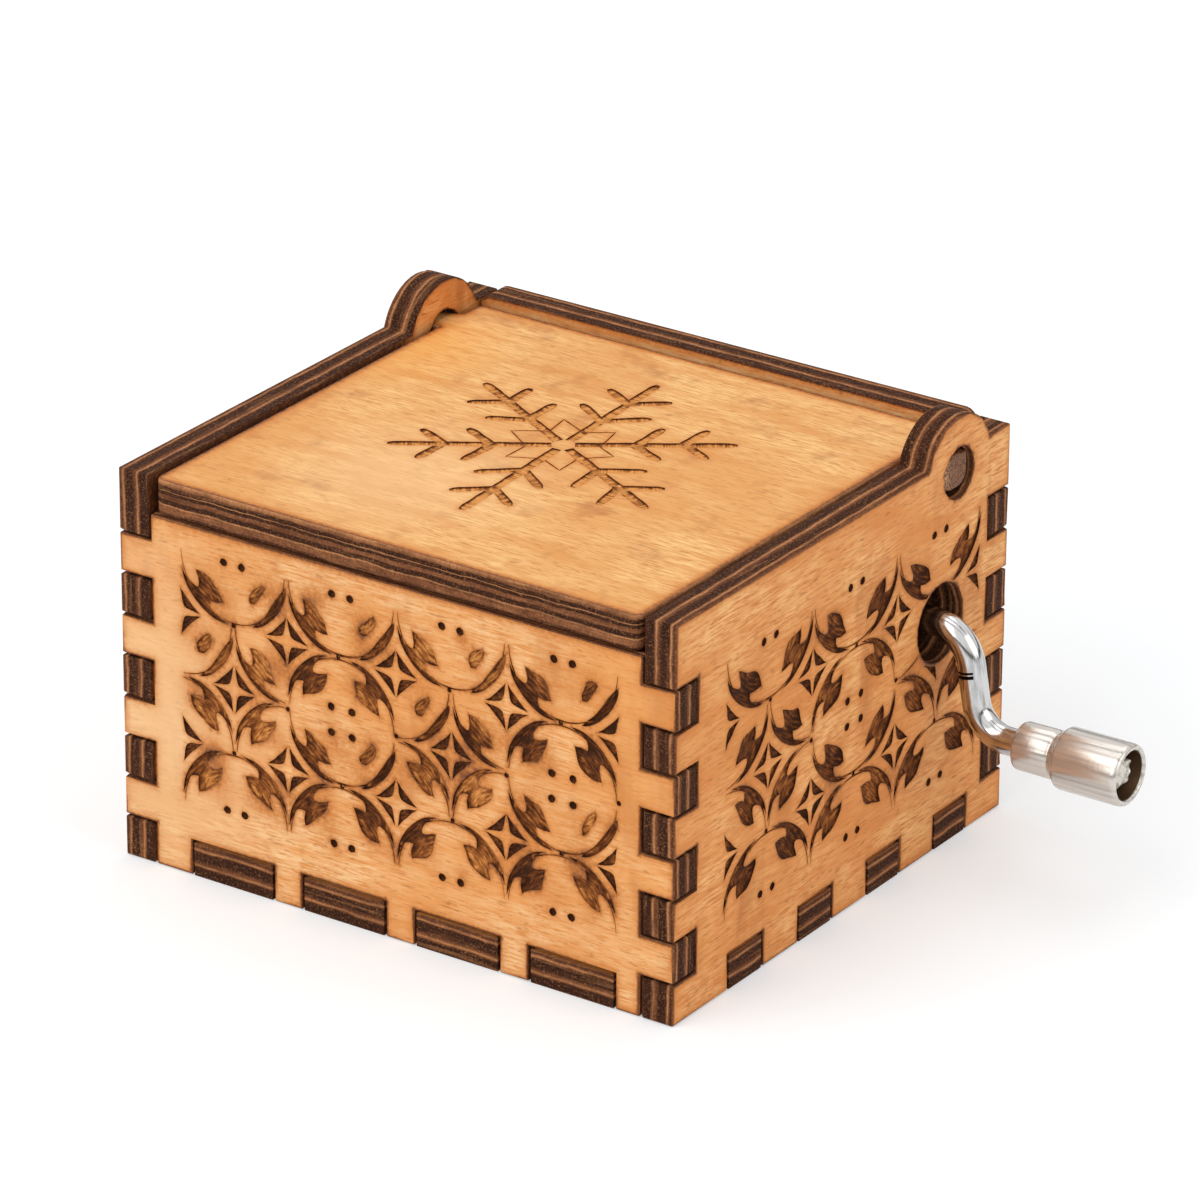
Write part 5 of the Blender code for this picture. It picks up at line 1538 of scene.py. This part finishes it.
# %% Fine edges
SLOT_TURNS = {"comb_screw_1": 20, "comb_screw_2": 75, "bracket_screw_1": 130,
              "bracket_screw_2": 50, "bedplate_screw_1": 15, "bedplate_screw_2": 100,
              "bedplate_screw_3": 60}
FINISH_AND_EDGE = {
    "bedplate": (zinc_casting, 0.18), "comb": (comb_steel, 0.05), "drum": (drum_brass, 0.0),
    "drum_cap_front": (drum_brass, 0.08), "drum_cap_rear": (drum_brass, 0.08),
    "drum_gear": (drum_brass, 0.04), "drum_shaft": (screw_steel, 0.05),
    "shaft_clip_front": (screw_steel, 0.04), "shaft_clip_rear": (screw_steel, 0.04),
    "worm_bracket_inner": (sheet_steel, 0.08), "worm_bracket_outer": (sheet_steel, 0.08),
    "worm_shaft": (screw_steel, 0.0), "worm_washer": (screw_steel, 0.05),
    **{screw: (screw_steel, 0.0) for screw in SLOT_TURNS},
}
EDGE_CORNER = 40
BODIES = {name: body for body, names in frame["record"]["behaviour"]["bodies"].items()
          for name in names}
refined = {}
for node_name, (material, width) in FINISH_AND_EDGE.items():
    piece = merged_copy(node_name, node_name + "_fine")
    piece.data.materials.clear()
    piece.data.materials.append(material)
    if width:
        round_edges(piece, width, 2, EDGE_CORNER)
    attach(piece, BODIES[node_name])
    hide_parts(node_name)
    refined[node_name] = piece
print("refined:", len(refined), "pieces of the movement")

# %% Screw slots
SLOT_WIDTH, SLOT_DEPTH = 0.42 * MM, 0.35 * MM


def cut_slot(piece, degrees, side):
    """Cuts a screw head's flat face by two planes and pushes the strip between them in."""
    low, high = (Vector([pick(v.co[axis] for v in piece.data.vertices) for axis in range(3)])
                 for pick in (min, max))
    middle = (low + high) / 2
    level = high.z if side > 0 else low.z
    across = Vector((math.cos(math.radians(degrees)), math.sin(math.radians(degrees)), 0))

    def is_head(face):
        return face.normal.z * side > 0.99 and abs(face.center.z - level) < 0.01 * MM

    def is_strip(face):
        return is_head(face) and abs((face.center - middle).dot(across)) < SLOT_WIDTH / 2

    for sign in (1, -1):
        pick_faces(piece, is_head)
        bpy.ops.mesh.bisect(plane_co=middle + across * sign * SLOT_WIDTH / 2, plane_no=across)
        out_of_edit()
    pick_faces(piece, is_strip)
    push_selected((0, 0, -side * SLOT_DEPTH))


for name, degrees in SLOT_TURNS.items():
    cut_slot(refined[name], degrees, -1 if name.startswith("bedplate") else 1)
FLAT_SIDED = ("comb", "bedplate", "worm_bracket_inner", "worm_bracket_outer")
for name, piece in refined.items():
    finish_shape(piece, 20 if name in FLAT_SIDED else 35)
